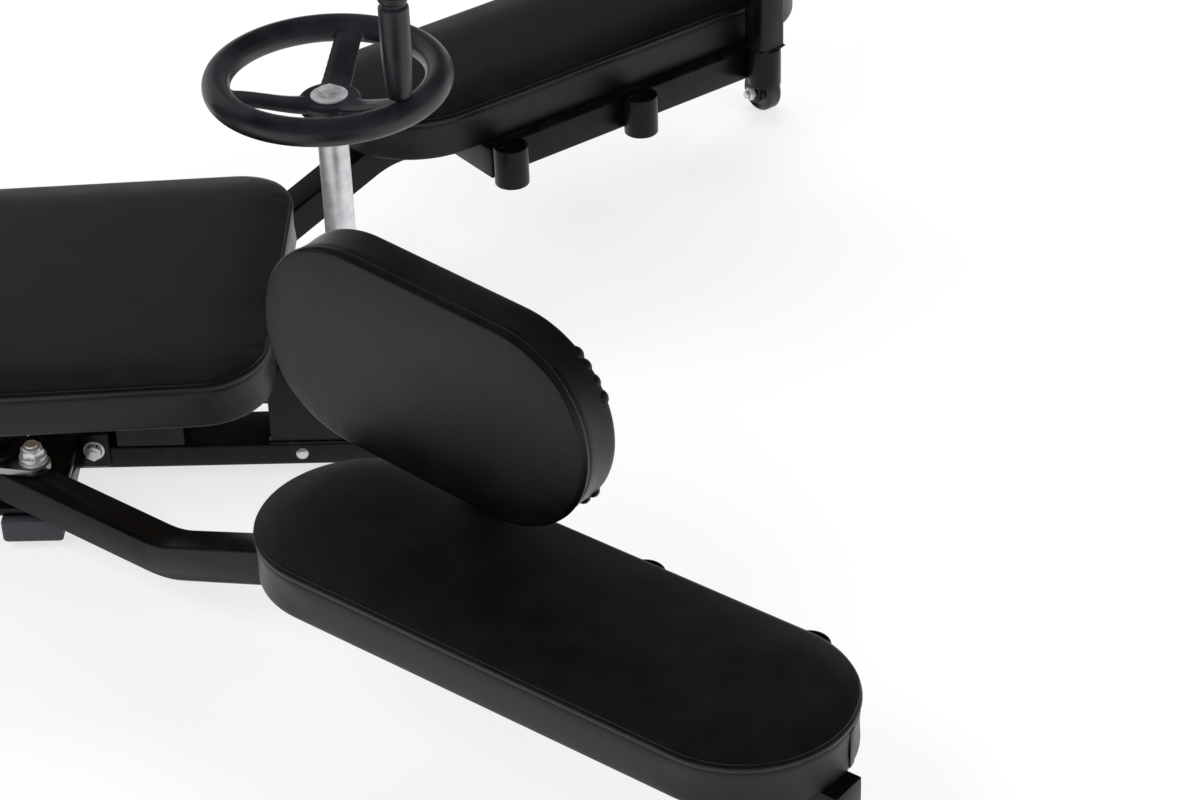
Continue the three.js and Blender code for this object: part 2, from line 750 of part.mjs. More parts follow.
// Shaft, handwheel and crank grip
function driveShaft() {
  const foot = screwZ + bevelPitchRadius * (1 - bevelFaceShare);
  const pinionTop = screwZ + bevelPitchRadius + bevelHubLength + fit;
  const shoulderZ = hubBottomZ - fit;
  const body = turned([
    [0, foot], [screwJournal, foot], [screwJournal, pinionTop], [shaftRadius, pinionTop],
    [shaftRadius, shoulderZ], [shaftStubRadius, shoulderZ], [shaftStubRadius, hubBottomZ + shaftStub],
    [0, hubBottomZ + shaftStub],
  ]);
  return cut(body, hole(hubBoltRadius, hubTopZ - hubBoltLength - overrun, hubTopZ, smallSides));
}

function spoke(angle) {
  const section = (distance, width, z) => {
    const [w, d] = [width / 2, spokeDepth / 2];
    const right = [[w - d, -d], [w, -d / 2], [w, d / 2], [w - d, d]];
    const left = right.map(([across, up]) => [-across, -up]);
    return [...right, ...left].map(([across, up]) => new THREE.Vector3(distance, across, z + up));
  };
  const hubMiddle = (hubBottomZ + hubTopZ) / 2;
  const stations = [
    section(spokeRoot, spokeHubWidth, hubMiddle),
    section(hubRadius + hubEdge, spokeHubWidth, hubMiddle + hubEdge),
    section(ringRadius - ringTube, spokeRingWidth, wheelZ),
    section(ringRadius, spokeRingWidth, wheelZ),
  ];
  return loft(stations).rotateZ(angle);
}

function handwheel() {
  const ring = new THREE.TorusGeometry(ringRadius, ringTube, ringTubeSides, ringSteps);
  const hub = turned([
    [0, hubBottomZ], [hubRadius - hubEdge, hubBottomZ], [hubRadius, hubBottomZ + hubEdge],
    [hubRadius, hubTopZ - hubEdge], [hubRadius - hubEdge, hubTopZ], [0, hubTopZ],
  ]);
  const spokes = Array.from({ length: spokeCount }, (_, k) => (
    spoke(spokeAngle + k * 2 * Math.PI / spokeCount)));
  const pinHole = hole(gripPinRadius, wheelZ - gripPinSink, wheelZ + ringTube + overrun, smallSides);
  const stubHole = hole(shaftStubRadius, hubBottomZ - overrun, hubBottomZ + shaftStub + fit, smallSides);
  const boltHole = hole(hubBoltRadius, hubBottomZ, hubTopZ + overrun, smallSides);
  return cut(
    join(ring.translate(0, 0, wheelZ), hub, ...spokes),
    pinHole.translate(gripFromAxis * Math.cos(gripAngle), gripFromAxis * Math.sin(gripAngle), 0),
    stubHole, boltHole);
}

function hubBolt() {
  const base = hubTopZ + fit;
  const domeBase = base + washerThickness;
  const dome = Array.from({ length: bendSteps + 1 }, (_, k) => {
    const angle = k / bendSteps * Math.PI / 2;
    return [hubDomeRadius * Math.cos(angle), domeBase + hubDomeHeight * Math.sin(angle)];
  });
  const foot = hubTopZ - hubBoltLength;
  return turned([
    [0, foot], [hubBoltRadius, foot], [hubBoltRadius, base], [hubWasherRadius, base],
    [hubWasherRadius, domeBase], ...dome.slice(0, -1), [0, domeBase + hubDomeHeight],
  ]);
}

function gripPin() {
  return rod(gripPinRadius, wheelZ - gripPinSink + fit, wheelZ + ringTube + gripLength - gripEnd, smallSides);
}

function grip() {
  const base = wheelZ + ringTube + fit;
  const collar = base + gripCollarHeight;
  const top = base + gripLength;
  const body = turned([
    [0, base], [gripBaseRadius, base], [gripTopRadius, collar - gripCollarHeight / 2],
    [gripTopRadius, collar - gripGroove], [gripTopRadius - gripGroove, collar],
    [gripTopRadius, collar + gripGroove], [gripTopRadius, top - gripEnd],
    [gripTopRadius - gripEnd / 2, top - gripEnd / 4], [0, top],
  ]);
  return cut(body, hole(gripPinRadius, base - overrun, top - gripEnd + fit, smallSides));
}

// Leg arm: one bent rectangular tube, welded to the sleeve it turns on
function armBand(inset, startA, endA) {
  const lowMiddle = armLowTopZ - armHeight / 2;
  const highMiddle = legPadBottomZ - fit - armHeight / 2;
  const lean = Math.tan(armRise / 2);
  const firstA = armBendA + armHeight / 2 * lean;
  const secondA = firstA + (highMiddle - lowMiddle) / Math.tan(armRise);
  const edge = (side) => {
    const off = side * (armHeight / 2 - inset);
    return [
      [startA, lowMiddle + off], [firstA - off * lean, lowMiddle + off, armBendRadius - off],
      [secondA - off * lean, highMiddle + off, armBendRadius + off], [endA, highMiddle + off],
    ];
  };
  return outline([...edge(-1), ...edge(1).reverse()]);
}

function legArm() {
  const bar = softExtrude(
    armBand(0, 0, armEndA), -armWidth / 2, armWidth / 2, armCorner, bendSteps).rotateX(Math.PI / 2);
  const inside = sideView(
    armBand(armWall, sleeveRadius - armWall, armEndA - armWall),
    armWall - armWidth / 2, armWidth / 2 - armWall, bendSteps);
  const sleeve = rod(sleeveRadius, lowerPlateTopZ + fit, upperPlateZ - fit);
  const bore = hole(pivotBoltRadius, 0, upperPlateTopZ, smallSides);
  const boltHole = hole(sectorBoltRadius, lowerPlateTopZ, upperPlateTopZ, smallSides);
  const tube = cut(bar, inside, rod(sleeveRadius - armWall, 0, upperPlateTopZ));
  return cut(join(tube, sleeve), bore, boltHole.translate(sectorBoltA, sectorBoltB, 0));
}

function sectorBolt() {
  const armBottomZ = armLowTopZ - armHeight;
  const nutZ = sectorTopZ + sectorWasherStack - fit;
  const washers = rod(sectorHexFlats / 2 + washerRim, sectorTopZ + fit, nutZ + fit);
  const bolt = join(
    rod(sectorBoltRadius, armBottomZ - sectorHeadHeight, nutZ + sectorNutHeight + boltPoint, smallSides),
    hexagon(sectorHexFlats, armBottomZ - fit - sectorHeadHeight, armBottomZ - fit),
    washers, hexagon(sectorHexFlats, nutZ, nutZ + sectorNutHeight));
  return bolt.translate(sectorBoltA, sectorBoltB, 0);
}

// Socket rail: a cross tube from the arm, the rail along the pad's inner edge and three open sockets
function socketRail() {
  const topZ = legPadBottomZ - fit;
  const height = topZ - railBottomZ;
  const middleZ = (topZ + railBottomZ) / 2;
  const armSideB = -armWidth / 2 - fit;
  const railB = railInnerB + railWidth / 2;
  const rail = alongX(boxTube(railWidth, height, railWall, railCorner, railStartA, railEndA));
  const cross = (a) => alongY(
    boxTube(height, railWidth, railWall, railCorner, railB, armSideB)).translate(a, 0, middleZ);
  const socketAt = (k) => [socketFirstA + k * socketPitch, socketB];
  const sockets = Array.from({ length: socketCount }, (_, k) => (
    rod(socketRadius, socketBottomZ, socketTopZ).translate(...socketAt(k), 0)));
  const bores = Array.from({ length: socketCount }, (_, k) => (
    hole(spigotRadius, socketBottomZ - overrun, socketTopZ + overrun).translate(...socketAt(k), 0)));
  const crossbars = [railStartA + railWidth / 2, railEndA - railWidth / 2].map(cross);
  return cut(join(rail.translate(0, railB, middleZ), ...crossbars, ...sockets), ...bores);
}

// Castor: a fork on a post under the arm's end, its axle along the leg
function castorFork() {
  const cheekInner = castorWidth / 2 + forkGap;
  const cheekOuter = cheekInner + forkPlate;
  const crownZ = 2 * castorRadius + forkCrownGap;
  const lobe = strap(0, castorRadius, forkLobe, 0, crownZ, forkPostB / 2);
  const turnedLobe = sideView(lobe, -cheekOuter, cheekOuter, bendSteps).rotateZ(Math.PI / 2);
  const room = block(
    -cheekInner, cheekInner, -castorRadius - overrun, castorRadius + overrun, 0, crownZ);
  const top = block(
    -castorRadius, castorRadius, -castorRadius, castorRadius, crownZ + forkPlate, 2 * crownZ);
  const post = block(
    -forkPostA / 2, forkPostA / 2, -forkPostB / 2, forkPostB / 2, crownZ + forkPlate / 2,
    legPadBottomZ - armHeight - 2 * fit);
  const axleHole = alongX(hole(castorAxleRadius, -castorWidth, castorWidth, smallSides));
  return cut(join(cut(turnedLobe, room, top), post), axleHole.translate(0, 0, castorRadius));
}

function castorWheel() {
  const half = castorWidth / 2;
  const bore = castorAxleRadius + fit;
  return alongX(turned([
    [bore, -half], [castorHubRadius, -half], [castorHubRadius, castorDish - half],
    [castorRadius - 2 * castorRound, castorDish - half], [castorRadius - castorRound, -half],
    [castorRadius, castorRound - half], [castorRadius, half - castorRound],
    [castorRadius - castorRound, half],
    [castorRadius - 2 * castorRound, half - castorDish], [castorHubRadius, half - castorDish],
    [castorHubRadius, half], [bore, half], [bore, -half],
  ])).translate(0, 0, castorRadius);
}

function castorAxle() {
  const cheekOuter = castorWidth / 2 + forkGap + forkPlate + fit;
  const end = cheekOuter + castorNutHeight;
  return alongX(join(
    rod(castorAxleRadius, -end - castorAxleTail, end - fit, smallSides),
    hexagon(castorNutFlats, cheekOuter, end), hexagon(castorNutFlats, -end, -cheekOuter),
  )).translate(0, 0, castorRadius);
}

// Upright pad: a square post with a round spigot, a channel behind the pad, and the pad itself
function uprightPost() {
  const foot = socketTopZ + fit;
  const tube = boxTube(postSize, postSize, postWall, postCorner, foot, postTopZ);
  const floor = softExtrude(roundRect(postSize, postSize, postCorner), foot, foot + 2 * postWall, fit);
  const spigot = rod(spigotRadius, foot - spigotLength, foot + postWall);
  const channelThickness = uprightPadBack - postSize / 2;
  const channel = extrude(
    roundRect(mountChannelLength, mountChannelHeight, mountChannelHeight / 4),
    0, channelThickness, bendSteps);
  const inner = block(
    -mountChannelLength / 2 + mountChannelHeight / 4, mountChannelLength / 2 - mountChannelHeight / 4,
    mountChannelWall - mountChannelHeight / 2, mountChannelHeight / 2 - mountChannelWall,
    mountChannelWall, channelThickness + overrun);
  const bracket = cut(channel, inner).rotateX(-Math.PI / 2).rotateY(uprightPadDroop);
  bracket.translate(0, postSize / 2 - fit, uprightPadZ);
  return cut(
    join(tube, floor, spigot, bracket),
    rod(spigotBore, foot - spigotLength - overrun, foot + 2 * postWall + overrun, smallSides));
}

function uprightPad() {
  const pad = cushion(
    uprightPadLength, uprightPadHeight, uprightPadHeight / 2, uprightPadThickness, cushionSteps);
  pad.rotateX(-Math.PI / 2).rotateY(uprightPadDroop);
  return pad.translate(0, uprightPadBack, uprightPadZ);
}

function leg(side) {
  const padLength = legPadEndA - legPadStartA;
  const padWidth = legPadOuterB - legPadInnerB;
  const padA = (legPadStartA + legPadEndA) / 2;
  const padB = (legPadOuterB + legPadInnerB) / 2;
  const skirt = legPadSeamZ - legPadBottomZ;
  const pad = cushionOverBoard(padLength, padWidth, padWidth / 2, skirt, cushionSteps);
  const board = extrude(boardShape(padLength, padWidth, padWidth / 2), 0, boardThickness, cushionSteps);
  const castor = new THREE.Group();
  castor.position.set(castorA, castorB, 0);
  castor.add(
    part(`${side}_castor_fork`, castorFork(), blackPaint),
    part(`${side}_castor_wheel`, castorWheel(), blackPlastic),
    part(`${side}_castor_axle`, castorAxle(), zincPlate));
  const upright = new THREE.Group();
  upright.position.set(socketFirstA + uprightSocketSteps[side] * socketPitch, socketB, 0);
  upright.add(
    part(`${side}_upright_post`, uprightPost(), blackPaint),
    part(`${side}_upright_pad`, uprightPad(), blackVinyl));
  const group = new THREE.Group();
  group.position.set(pivotX, pivotY, 0);
  group.rotation.z = legAngle;
  group.add(
    part(`${side}_leg_arm`, legArm(), blackPaint),
    part(`${side}_sector_gear`, sectorGear(), bareSteel),
    part(`${side}_sector_bolt`, sectorBolt(), zincPlate),
    part(`${side}_socket_rail`, socketRail(), blackPaint),
    part(`${side}_pad_board`, board.translate(padA, padB, legPadBottomZ), plywood),
    part(`${side}_leg_pad`, pad.translate(padA, padB, legPadBottomZ), blackVinyl),
    castor, upright);
  const half = new THREE.Group();
  half.scale.y = side === 'left' ? 1 : -1;
  half.add(group);
  return half;
}

// Seat: two saddle brackets on the beam, a board and the cushion, tipped up a little at the front
function seatSupport(x, length) {
  const underside = (at) => seatBottomZ + (at - frontSupportX) * Math.tan(seatTilt) - fit;
  const [rear, front] = [x - length / 2, x + length / 2];
  const side = outline([
    [front, beamTopZ + fit], [front, underside(front)], [rear, underside(rear)], [rear, beamTopZ + fit],
  ]);
  const inner = extrude(outline([
    [beamWidth / 2 - supportPlate, beamTopZ - overrun],
    [beamWidth / 2 - supportPlate, underside(rear) - supportPlate, supportCorner],
    [supportPlate - beamWidth / 2, underside(rear) - supportPlate, supportCorner],
    [supportPlate - beamWidth / 2, beamTopZ - overrun],
  ]), rear - overrun, front + overrun);
  return cut(sideView(side, -beamWidth / 2, beamWidth / 2), alongX(inner));
}

function seat() {
  const group = new THREE.Group();
  group.add(
    part('seat_support_front', seatSupport(frontSupportX, frontSupportLength), blackPaint),
    part('seat_support_rear', seatSupport(rearSupportX, rearSupportLength), blackPaint));
  const length = seatFrontX - seatRearX;
  const middle = (seatFrontX + seatRearX) / 2 - frontSupportX;
  const board = extrude(boardShape(length, 2 * seatHalf, seatCorner), 0, boardThickness, bendSteps);
  const pad = cushionOverBoard(length, 2 * seatHalf, seatCorner, seatSkirt, bendSteps);
  const top = new THREE.Group();
  top.position.set(frontSupportX, 0, seatBottomZ);
  top.rotation.y = -seatTilt;
  top.add(
    part('seat_board', board.translate(middle, 0, 0), plywood),
    part('seat_pad', pad.translate(middle, 0, 0), blackVinyl));
  group.add(top);
  return group;
}

// Backrest: slotted cheeks on the beam, a spine on a pin between them, and the pad on two bars
function backBracket() {
  const inner = spineWidth / 2 + runningGap;
  const outer = inner + backCheekThickness;
  const cheekShape = outline([
    [backCheekFootFrontX, beamTopZ + fit], [backPivotX + backCheekLobe, backPivotZ, backCheekLobe],
    [backPivotX + backCheekLobe, backPivotZ + slotRadius + backCheekLobe, backCheekLobe],
    [backPivotX - slotRadius - backCheekLobe, backPivotZ + slotRadius + backCheekLobe, slotRadius],
    [backPivotX - slotRadius - backCheekLobe, backPivotZ - backCheekLobe, backCheekLobe],
    [backCheekFootRearX, beamTopZ + fit],
  ]);
  const body = sideView(cheekShape, -outer, outer, bendSteps);
  const room = block(
    backPivotX - 2 * slotRadius, backPivotX + 2 * slotRadius, -inner, inner,
    beamTopZ + fit + backBasePlate, backPivotZ + 2 * slotRadius);
  const start = Math.PI / 2 + backLean - backForward;
  const end = Math.PI / 2 + backLean + backRecline;
  const slotHalf = clampRadius + fit;
  const slotShape = new THREE.Shape();
  slotShape.absarc(0, 0, slotRadius + slotHalf, start, end);
  slotShape.absarc(slotRadius * Math.cos(end), slotRadius * Math.sin(end), slotHalf, end, end + Math.PI);
  slotShape.absarc(0, 0, slotRadius - slotHalf, end, start, true);
  slotShape.absarc(
    slotRadius * Math.cos(start), slotRadius * Math.sin(start), slotHalf, start - Math.PI, start);
  const slot = sideView(slotShape, -outer - overrun, outer + overrun, 2 * bendSteps);
  const pinHole = alongY(hole(backPinRadius, -outer - overrun, outer + overrun, smallSides));
  return cut(
    body, room, slot.translate(backPivotX, 0, backPivotZ), pinHole.translate(backPivotX, 0, backPivotZ));
}

function backPin() {
  const outer = spineWidth / 2 + runningGap + backCheekThickness + fit;
  return alongY(join(
    rod(backPinRadius, -outer - fit, outer + fit, smallSides),
    rod(backPinHead, outer, outer + backPinHeadHeight, smallSides),
    rod(backPinHead, -outer - backPinHeadHeight, -outer, smallSides),
  )).translate(backPivotX, 0, backPivotZ);
}

function backSpine() {
  const tube = boxTube(spineDepth, spineWidth, tubeWall, tubeCorner, -spineTail, spineLength);
  const frontX = spineDepth / 2;
  const bars = padBarShares.map((share) => {
    const z = backPadStart + share * backPadLength;
    return block(
      frontX - fit, frontX + padBarThickness, -padBarHalf, padBarHalf,
      z - padBarHeight / 2, z + padBarHeight / 2);
  });
  const pinHole = alongY(hole(backPinRadius, -spineWidth, spineWidth, smallSides));
  const clampHole = alongY(hole(clampRadius, -spineWidth, spineWidth, smallSides));
  return cut(join(tube, ...bars), pinHole, clampHole.translate(0, 0, slotRadius));
}

function backClamp() {
  const outer = spineWidth / 2 + runningGap + backCheekThickness + fit;
  const knobShape = new THREE.Shape();
  const steps = clampLobes * clampLobeSteps;
  for (let k = 0; k < steps; k += 1) {
    const angle = k / steps * 2 * Math.PI;
    const radius = clampKnobRadius - clampLobeDepth * (1 + Math.cos(clampLobes * angle)) / 2;
    const [x, y] = [radius * Math.cos(angle), radius * Math.sin(angle)];
    if (k === 0) knobShape.moveTo(x, y);
    else knobShape.lineTo(x, y);
  }
  return alongY(join(
    rod(clampRadius, -outer - fit, outer + fit, smallSides),
    extrude(knobShape, -outer - clampKnobHeight, -outer),
    rod(backPinHead, outer, outer + backPinHeadHeight, smallSides))).translate(0, 0, slotRadius);
}

function backrest() {
  const lean = new THREE.Group();
  lean.position.set(backPivotX, 0, backPivotZ);
  lean.rotation.y = -backLean;
  const pad = cushion(backPadLength, 2 * backPadHalf, backPadCorner, backPadThickness, bendSteps);
  pad.rotateY(Math.PI / 2).rotateX(Math.PI);
  pad.translate(spineDepth / 2 + padBarThickness + fit, 0, backPadStart + backPadLength / 2);
  lean.add(
    part('backrest_spine', backSpine(), blackPaint),
    part('backrest_clamp', backClamp(), blackPlastic),
    part('backrest_pad', pad, blackVinyl));
  const group = new THREE.Group();
  group.add(
    part('backrest_bracket', backBracket(), blackPaint),
    part('backrest_pin', backPin(), zincPlate),
    lean);
  return group;
}

function drive() {
  const group = new THREE.Group();
  const pinion = bevelGear(0, screwJournal).translate(0, 0, screwZ);
  const screwGear = bevelGear(bevelPhaseShare, screwJournal).rotateY(-Math.PI / 2).translate(0, 0, screwZ);
  const gripPlace = new THREE.Group();
  gripPlace.position.set(gripFromAxis * Math.cos(gripAngle), gripFromAxis * Math.sin(gripAngle), 0);
  gripPlace.add(part('grip_pin', gripPin(), zincPlate), part('crank_grip', grip(), blackPlastic));
  group.add(
    part('gear_housing', gearHousing(), blackPaint),
    part('screw_bearing', screwBearing(), blackPaint),
    part('lead_screw', leadScrew(), bareSteel),
    part('screw_bevel_gear', screwGear, bareSteel),
    part('rack_carriage', rackCarriage(), bareSteel),
    part('shaft_bevel_gear', pinion, bareSteel),
    part('drive_shaft', driveShaft(), zincPlate),
    part('handwheel', handwheel(), blackPlastic),
    part('hub_bolt', hubBolt(), zincPlate),
    gripPlace);
  return group;
}

const machine = new THREE.Group();
machine.add(baseFrame(), hinge(), drive(), leg('left'), leg('right'), seat(), backrest());

export default machine;
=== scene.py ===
import json
import math

import bmesh
import bpy
from mathutils import Matrix, Vector


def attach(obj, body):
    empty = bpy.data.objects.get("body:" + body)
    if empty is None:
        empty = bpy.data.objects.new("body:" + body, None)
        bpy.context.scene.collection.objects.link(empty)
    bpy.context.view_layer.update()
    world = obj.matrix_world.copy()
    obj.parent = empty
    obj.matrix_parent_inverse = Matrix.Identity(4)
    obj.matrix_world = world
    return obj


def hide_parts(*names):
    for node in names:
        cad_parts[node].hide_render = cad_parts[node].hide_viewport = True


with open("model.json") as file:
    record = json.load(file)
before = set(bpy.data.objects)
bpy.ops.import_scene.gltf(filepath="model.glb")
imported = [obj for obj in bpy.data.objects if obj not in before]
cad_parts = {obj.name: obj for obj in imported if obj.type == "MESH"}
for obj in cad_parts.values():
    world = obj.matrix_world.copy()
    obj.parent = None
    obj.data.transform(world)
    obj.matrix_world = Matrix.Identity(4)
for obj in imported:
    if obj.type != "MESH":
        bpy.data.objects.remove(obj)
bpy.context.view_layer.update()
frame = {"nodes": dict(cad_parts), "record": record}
scene = bpy.context.scene
scene.view_settings.view_transform = "Standard"
BODIES = frame["record"]["behaviour"]["bodies"]
BODY_OF = {node: body for body, nodes in BODIES.items() for node in nodes}

# Units and facets
MM = 0.001
TURN_STEPS = 72
SMALL_TURN_STEPS = 32
MERGE = 0.002
FIT_GAP = 0.3
SIDE_DIVISOR = 2.1
SMOOTH_BELOW = math.radians(32)
BEVEL_ABOVE = math.radians(28)
FLAT_WITHIN = math.radians(0.5)
ALL_SMOOTH = math.radians(180)
MOULDING_SMOOTH = math.radians(60)

# Leg coordinates: a along the leg from its pivot, b across it, minus towards the machine's middle
PIVOT_X = -400
PIVOT_Y = 137
LEG_ANGLE = math.radians(37.6)
SIDES = {"left": 1, "right": -1}

# Base: the beam and the gear housing on it
BEAM_HALF = 36.5
BEAM_TOP_Z = 46
HOUSING_FRONT_X = 45
HOUSING_REAR_X = -98
HOUSING_TOP_Z = 150
BEARING_X = -306.5
BEAM_NUT_AT = (-92, -28, 0)
BEAM_SCREW_X = -63
BEAM_SCREW_Z = 31

# Socket rail, posts and castors of a leg
RAIL_START_A = 596
RAIL_END_A = 1046
RAIL_INNER_B = -131
RAIL_WIDTH = 25
RAIL_BOTTOM_Z = 149
RAIL_TOP_Z = 192.7
RAIL_EDGE = 3
ARM_SIDE_B = -21.3
SOCKET_FIRST_A = 612.8
SOCKET_PITCH = 206.2
SOCKET_COUNT = 3
SOCKET_B = -151
SOCKET_RADIUS = 22
SOCKET_BORE_RADIUS = 19.2
SOCKET_BOTTOM_Z = 148
SOCKET_TOP_Z = 201
UPRIGHT_SOCKET_STEPS = {"left": 2, "right": 0}
CASTOR_A = 1153
CASTOR_B = 8
CASTOR_RADIUS = 29

# Weld beads
BEAD = 1.9
LARGE_BEAD = 2.2
SMALL_BEAD = 1.5
FINE_BEAD = 1.3
BEAD_PITCH_SHARE = 0.9

# Pads
BOARD_INSET = 8
BOARD_ROOM = 12.3
SEAM_HALF = 1.1
SEAM_DEPTH = 3.4
STRIP_BULGE = 1.5
TOPSTITCH_DROP = 10.5
TOPSTITCH_DEPTH = 1.6
BAND_ROWS = 6
BAND_DRAW = 1.5
PANEL_CELL = 9
PANEL_RISE = 3.4
PANEL_ROLL = 11
HEM = ((0.6, 1.2), (1.8, 0))
CORNER_STEPS = 24
STITCH_PITCH = 4.2
STITCH_SIZE = (1.5, 0.34, 0.3)
PAD_PRESSURE = 4.0
PAD_FRAMES = 20
PAD_CAP = 4.0
PLEAT_ANGLES = (-0.95, -0.82, -0.66, -0.5, 0.62, 0.78)
PLEAT_SIZE = (8, 9, 7)
PLEAT_REACH = 110.5
PLEAT_SWAY = 1.4
PLEAT_SWAY_STEP = 5.3
PLEAT_RISE = 3
LAP_ANGLE = math.radians(-12)
LAP_LOW = (0, -5, 2)
LAP_HIGH = (1.5, 5, 45)
LAP_SINK = 1.2
LEG_PAD_SIZE = (707, 228)
LEG_PAD_SKIRT = 57
LEG_PAD_AT = (811.5, -2, 193)
UPRIGHT_PAD_SIZE = (424, 232)
UPRIGHT_PAD_SKIRT = 52
UPRIGHT_PAD_BACK = 45
UPRIGHT_PAD_Z = 400
UPRIGHT_PAD_DROOP = math.radians(4.7)
SEAT_PAD_SIZE = (429, 464)
SEAT_PAD_CORNER = 75
SEAT_AT = (-240, 0, 197)
SEAT_TILT = math.radians(-2)
SEAT_PAD_BACK = 45.5
BACKREST_PAD_SIZE = (520, 410)
BACKREST_PAD_CORNER = 70
BACKREST_PIN_AT = (-566, 0, 176)
BACKREST_TILT = math.radians(-20)
BACKREST_PAD_AT = (23.3, 0, 364)
SEAT_SKIRT = 56
HELD = 1
FREE = 0

# Drive
WHEEL_Z = 507
RING_RADIUS = 124
RING_TUBE = 16
SPOKE_ANGLE = math.radians(81.5)
SPOKE_COUNT = 3
SPOKE_START = 14
SPOKE_RISE = 2
SPOKE_WIDTHS = (35, 30)
SPOKE_THICKNESSES = (13, 12)
SPOKE_ROUNDING = 0.45
MOULD_VOXEL = 1.6
MOULD_PASSES = 4
HUB_RADIUS = 35
HUB_BOTTOM_Z = 468
HUB_TOP_Z = 485
GRIP_ANGLE = math.radians(-42.1)
GRIP_RADIUS_AT = 114.4
GRIP_COLLAR = 113
GRIP_LENGTH = 128
GRIP_PIN_RADIUS = 6
SHAFT_RADIUS = 17.5
SHAFT_NECK_RADIUS = 8
SHAFT_STUD_RADIUS = 10
SHAFT_FOOT_Z = 106.2
SHAFT_SHOULDER_Z = 131.3
SCREW_Z = 93
SCREW_REAR_X = -446.9
SCREW_SHOULDER_X = -98.3
SCREW_FRONT_X = -13.2
SCREW_LEAD = 12
THREAD_STEPS = 20
THREAD_PROFILE = ((8.6, 0), (10, 1.3), (10, 2.7), (8.6, 4))

# Studio: light levels, and what glossy surfaces see overhead
AMBIENT = 0.4
OVERHEAD_GLOSS = 0.03
SOFTBOX_TOWARDS = (-0.62, 0.66, 0.42)
SOFTBOX_EDGE = (0.82, 0.98)
SOFTBOX_GLOSS = 0.55
HORIZON_RISE = (0.02, 0.3)
FLOOR_HALF = 12
FLOOR_ALBEDO = 0.8
FLOOR_SEEN_ALBEDO = 0.3
FLOOR_LIFT = 0.72
LAMP_TARGET = (0.1, 0, 0.2)
LAMPS = (
    ("key", (-1.5, -2.2, 3.0), 2.0, 1.4, 60),
    ("fill", (2.4, -1.0, 2.2), 1.8, 1.8, 30),
    ("rim", (0.2, 2.6, 2.4), 2.6, 1.0, 50),
)

# Textures: the part of each noise that is spread over 0 to 1, and the scales of the shared ones
NOISE_RANGE = (0.3, 0.7)
CREASE_RANGE = (0.0, 0.18)
EDGE_RANGE = (0.52, 0.6)
PATCH_RANGE = (0.45, 0.62)
CLOUD_RANGE = (0.35, 0.68)
LINE_RANGE = (0.25, 0.7)
FINE_GRAIN_SCALE = 2600.0
FINE_GRAIN_SHARE = 0.35
BROAD_GRAIN_SCALE = 26.0
BROAD_PEEL_SCALE = 18.0
PATCH_SCALE = 60.0
CLOUD_SCALE = 70.0

# Camera, worked out from the photograph
LENS = 100.594
SENSOR = 36
CAMERA_AT = (0.37412, -3.29573, 2.2404)
CAMERA_PITCH = 0.5816
CAMERA_YAW = -0.026
CAMERA_ROLL = -0.0362


# Camera, lights and floor
def make_camera():
    look = Vector((
        math.sin(CAMERA_YAW) * math.cos(CAMERA_PITCH),
        math.cos(CAMERA_YAW) * math.cos(CAMERA_PITCH),
        -math.sin(CAMERA_PITCH)))
    level = Vector((math.cos(CAMERA_YAW), -math.sin(CAMERA_YAW), 0))
    upright = level.cross(look)
    right = math.cos(CAMERA_ROLL) * level + math.sin(CAMERA_ROLL) * upright
    up = math.cos(CAMERA_ROLL) * upright - math.sin(CAMERA_ROLL) * level
    axes = Matrix((right, up, -look)).transposed().to_4x4()
    data = bpy.data.cameras.new("camera")
    data.lens = LENS
    data.sensor_width = SENSOR
    data.sensor_fit = "HORIZONTAL"
    data.clip_start = 0.05
    data.clip_end = 60
    camera = bpy.data.objects.new("camera", data)
    camera.matrix_world = Matrix.Translation(CAMERA_AT) @ axes
    scene.collection.objects.link(camera)
    scene.camera = camera


def make_lamp(name, place, width, height, power):
    data = bpy.data.lights.new(name, "AREA")
    data.shape = "RECTANGLE"
    data.size = width
    data.size_y = height
    data.energy = power
    lamp = bpy.data.objects.new(name, data)
    aim = (Vector(LAMP_TARGET) - Vector(place)).to_track_quat("-Z", "Y")
    lamp.matrix_world = Matrix.Translation(place) @ aim.to_matrix().to_4x4()
    lamp.visible_glossy = False
    scene.collection.objects.link(lamp)


def background(tree, strength):
    node = tree.nodes.new("ShaderNodeBackground")
    node.inputs["Color"].default_value = (1, 1, 1, 1)
    node.inputs["Strength"].default_value = strength
    return node.outputs[0]


def mix_shaders(tree, share, first, second):
    """The first shader where the share is 0, the second where it is 1."""
    node = tree.nodes.new("ShaderNodeMixShader")
    for socket, value in zip(node.inputs, (share, first, second)):
        tree.links.new(value, socket)
    return node.outputs[0]


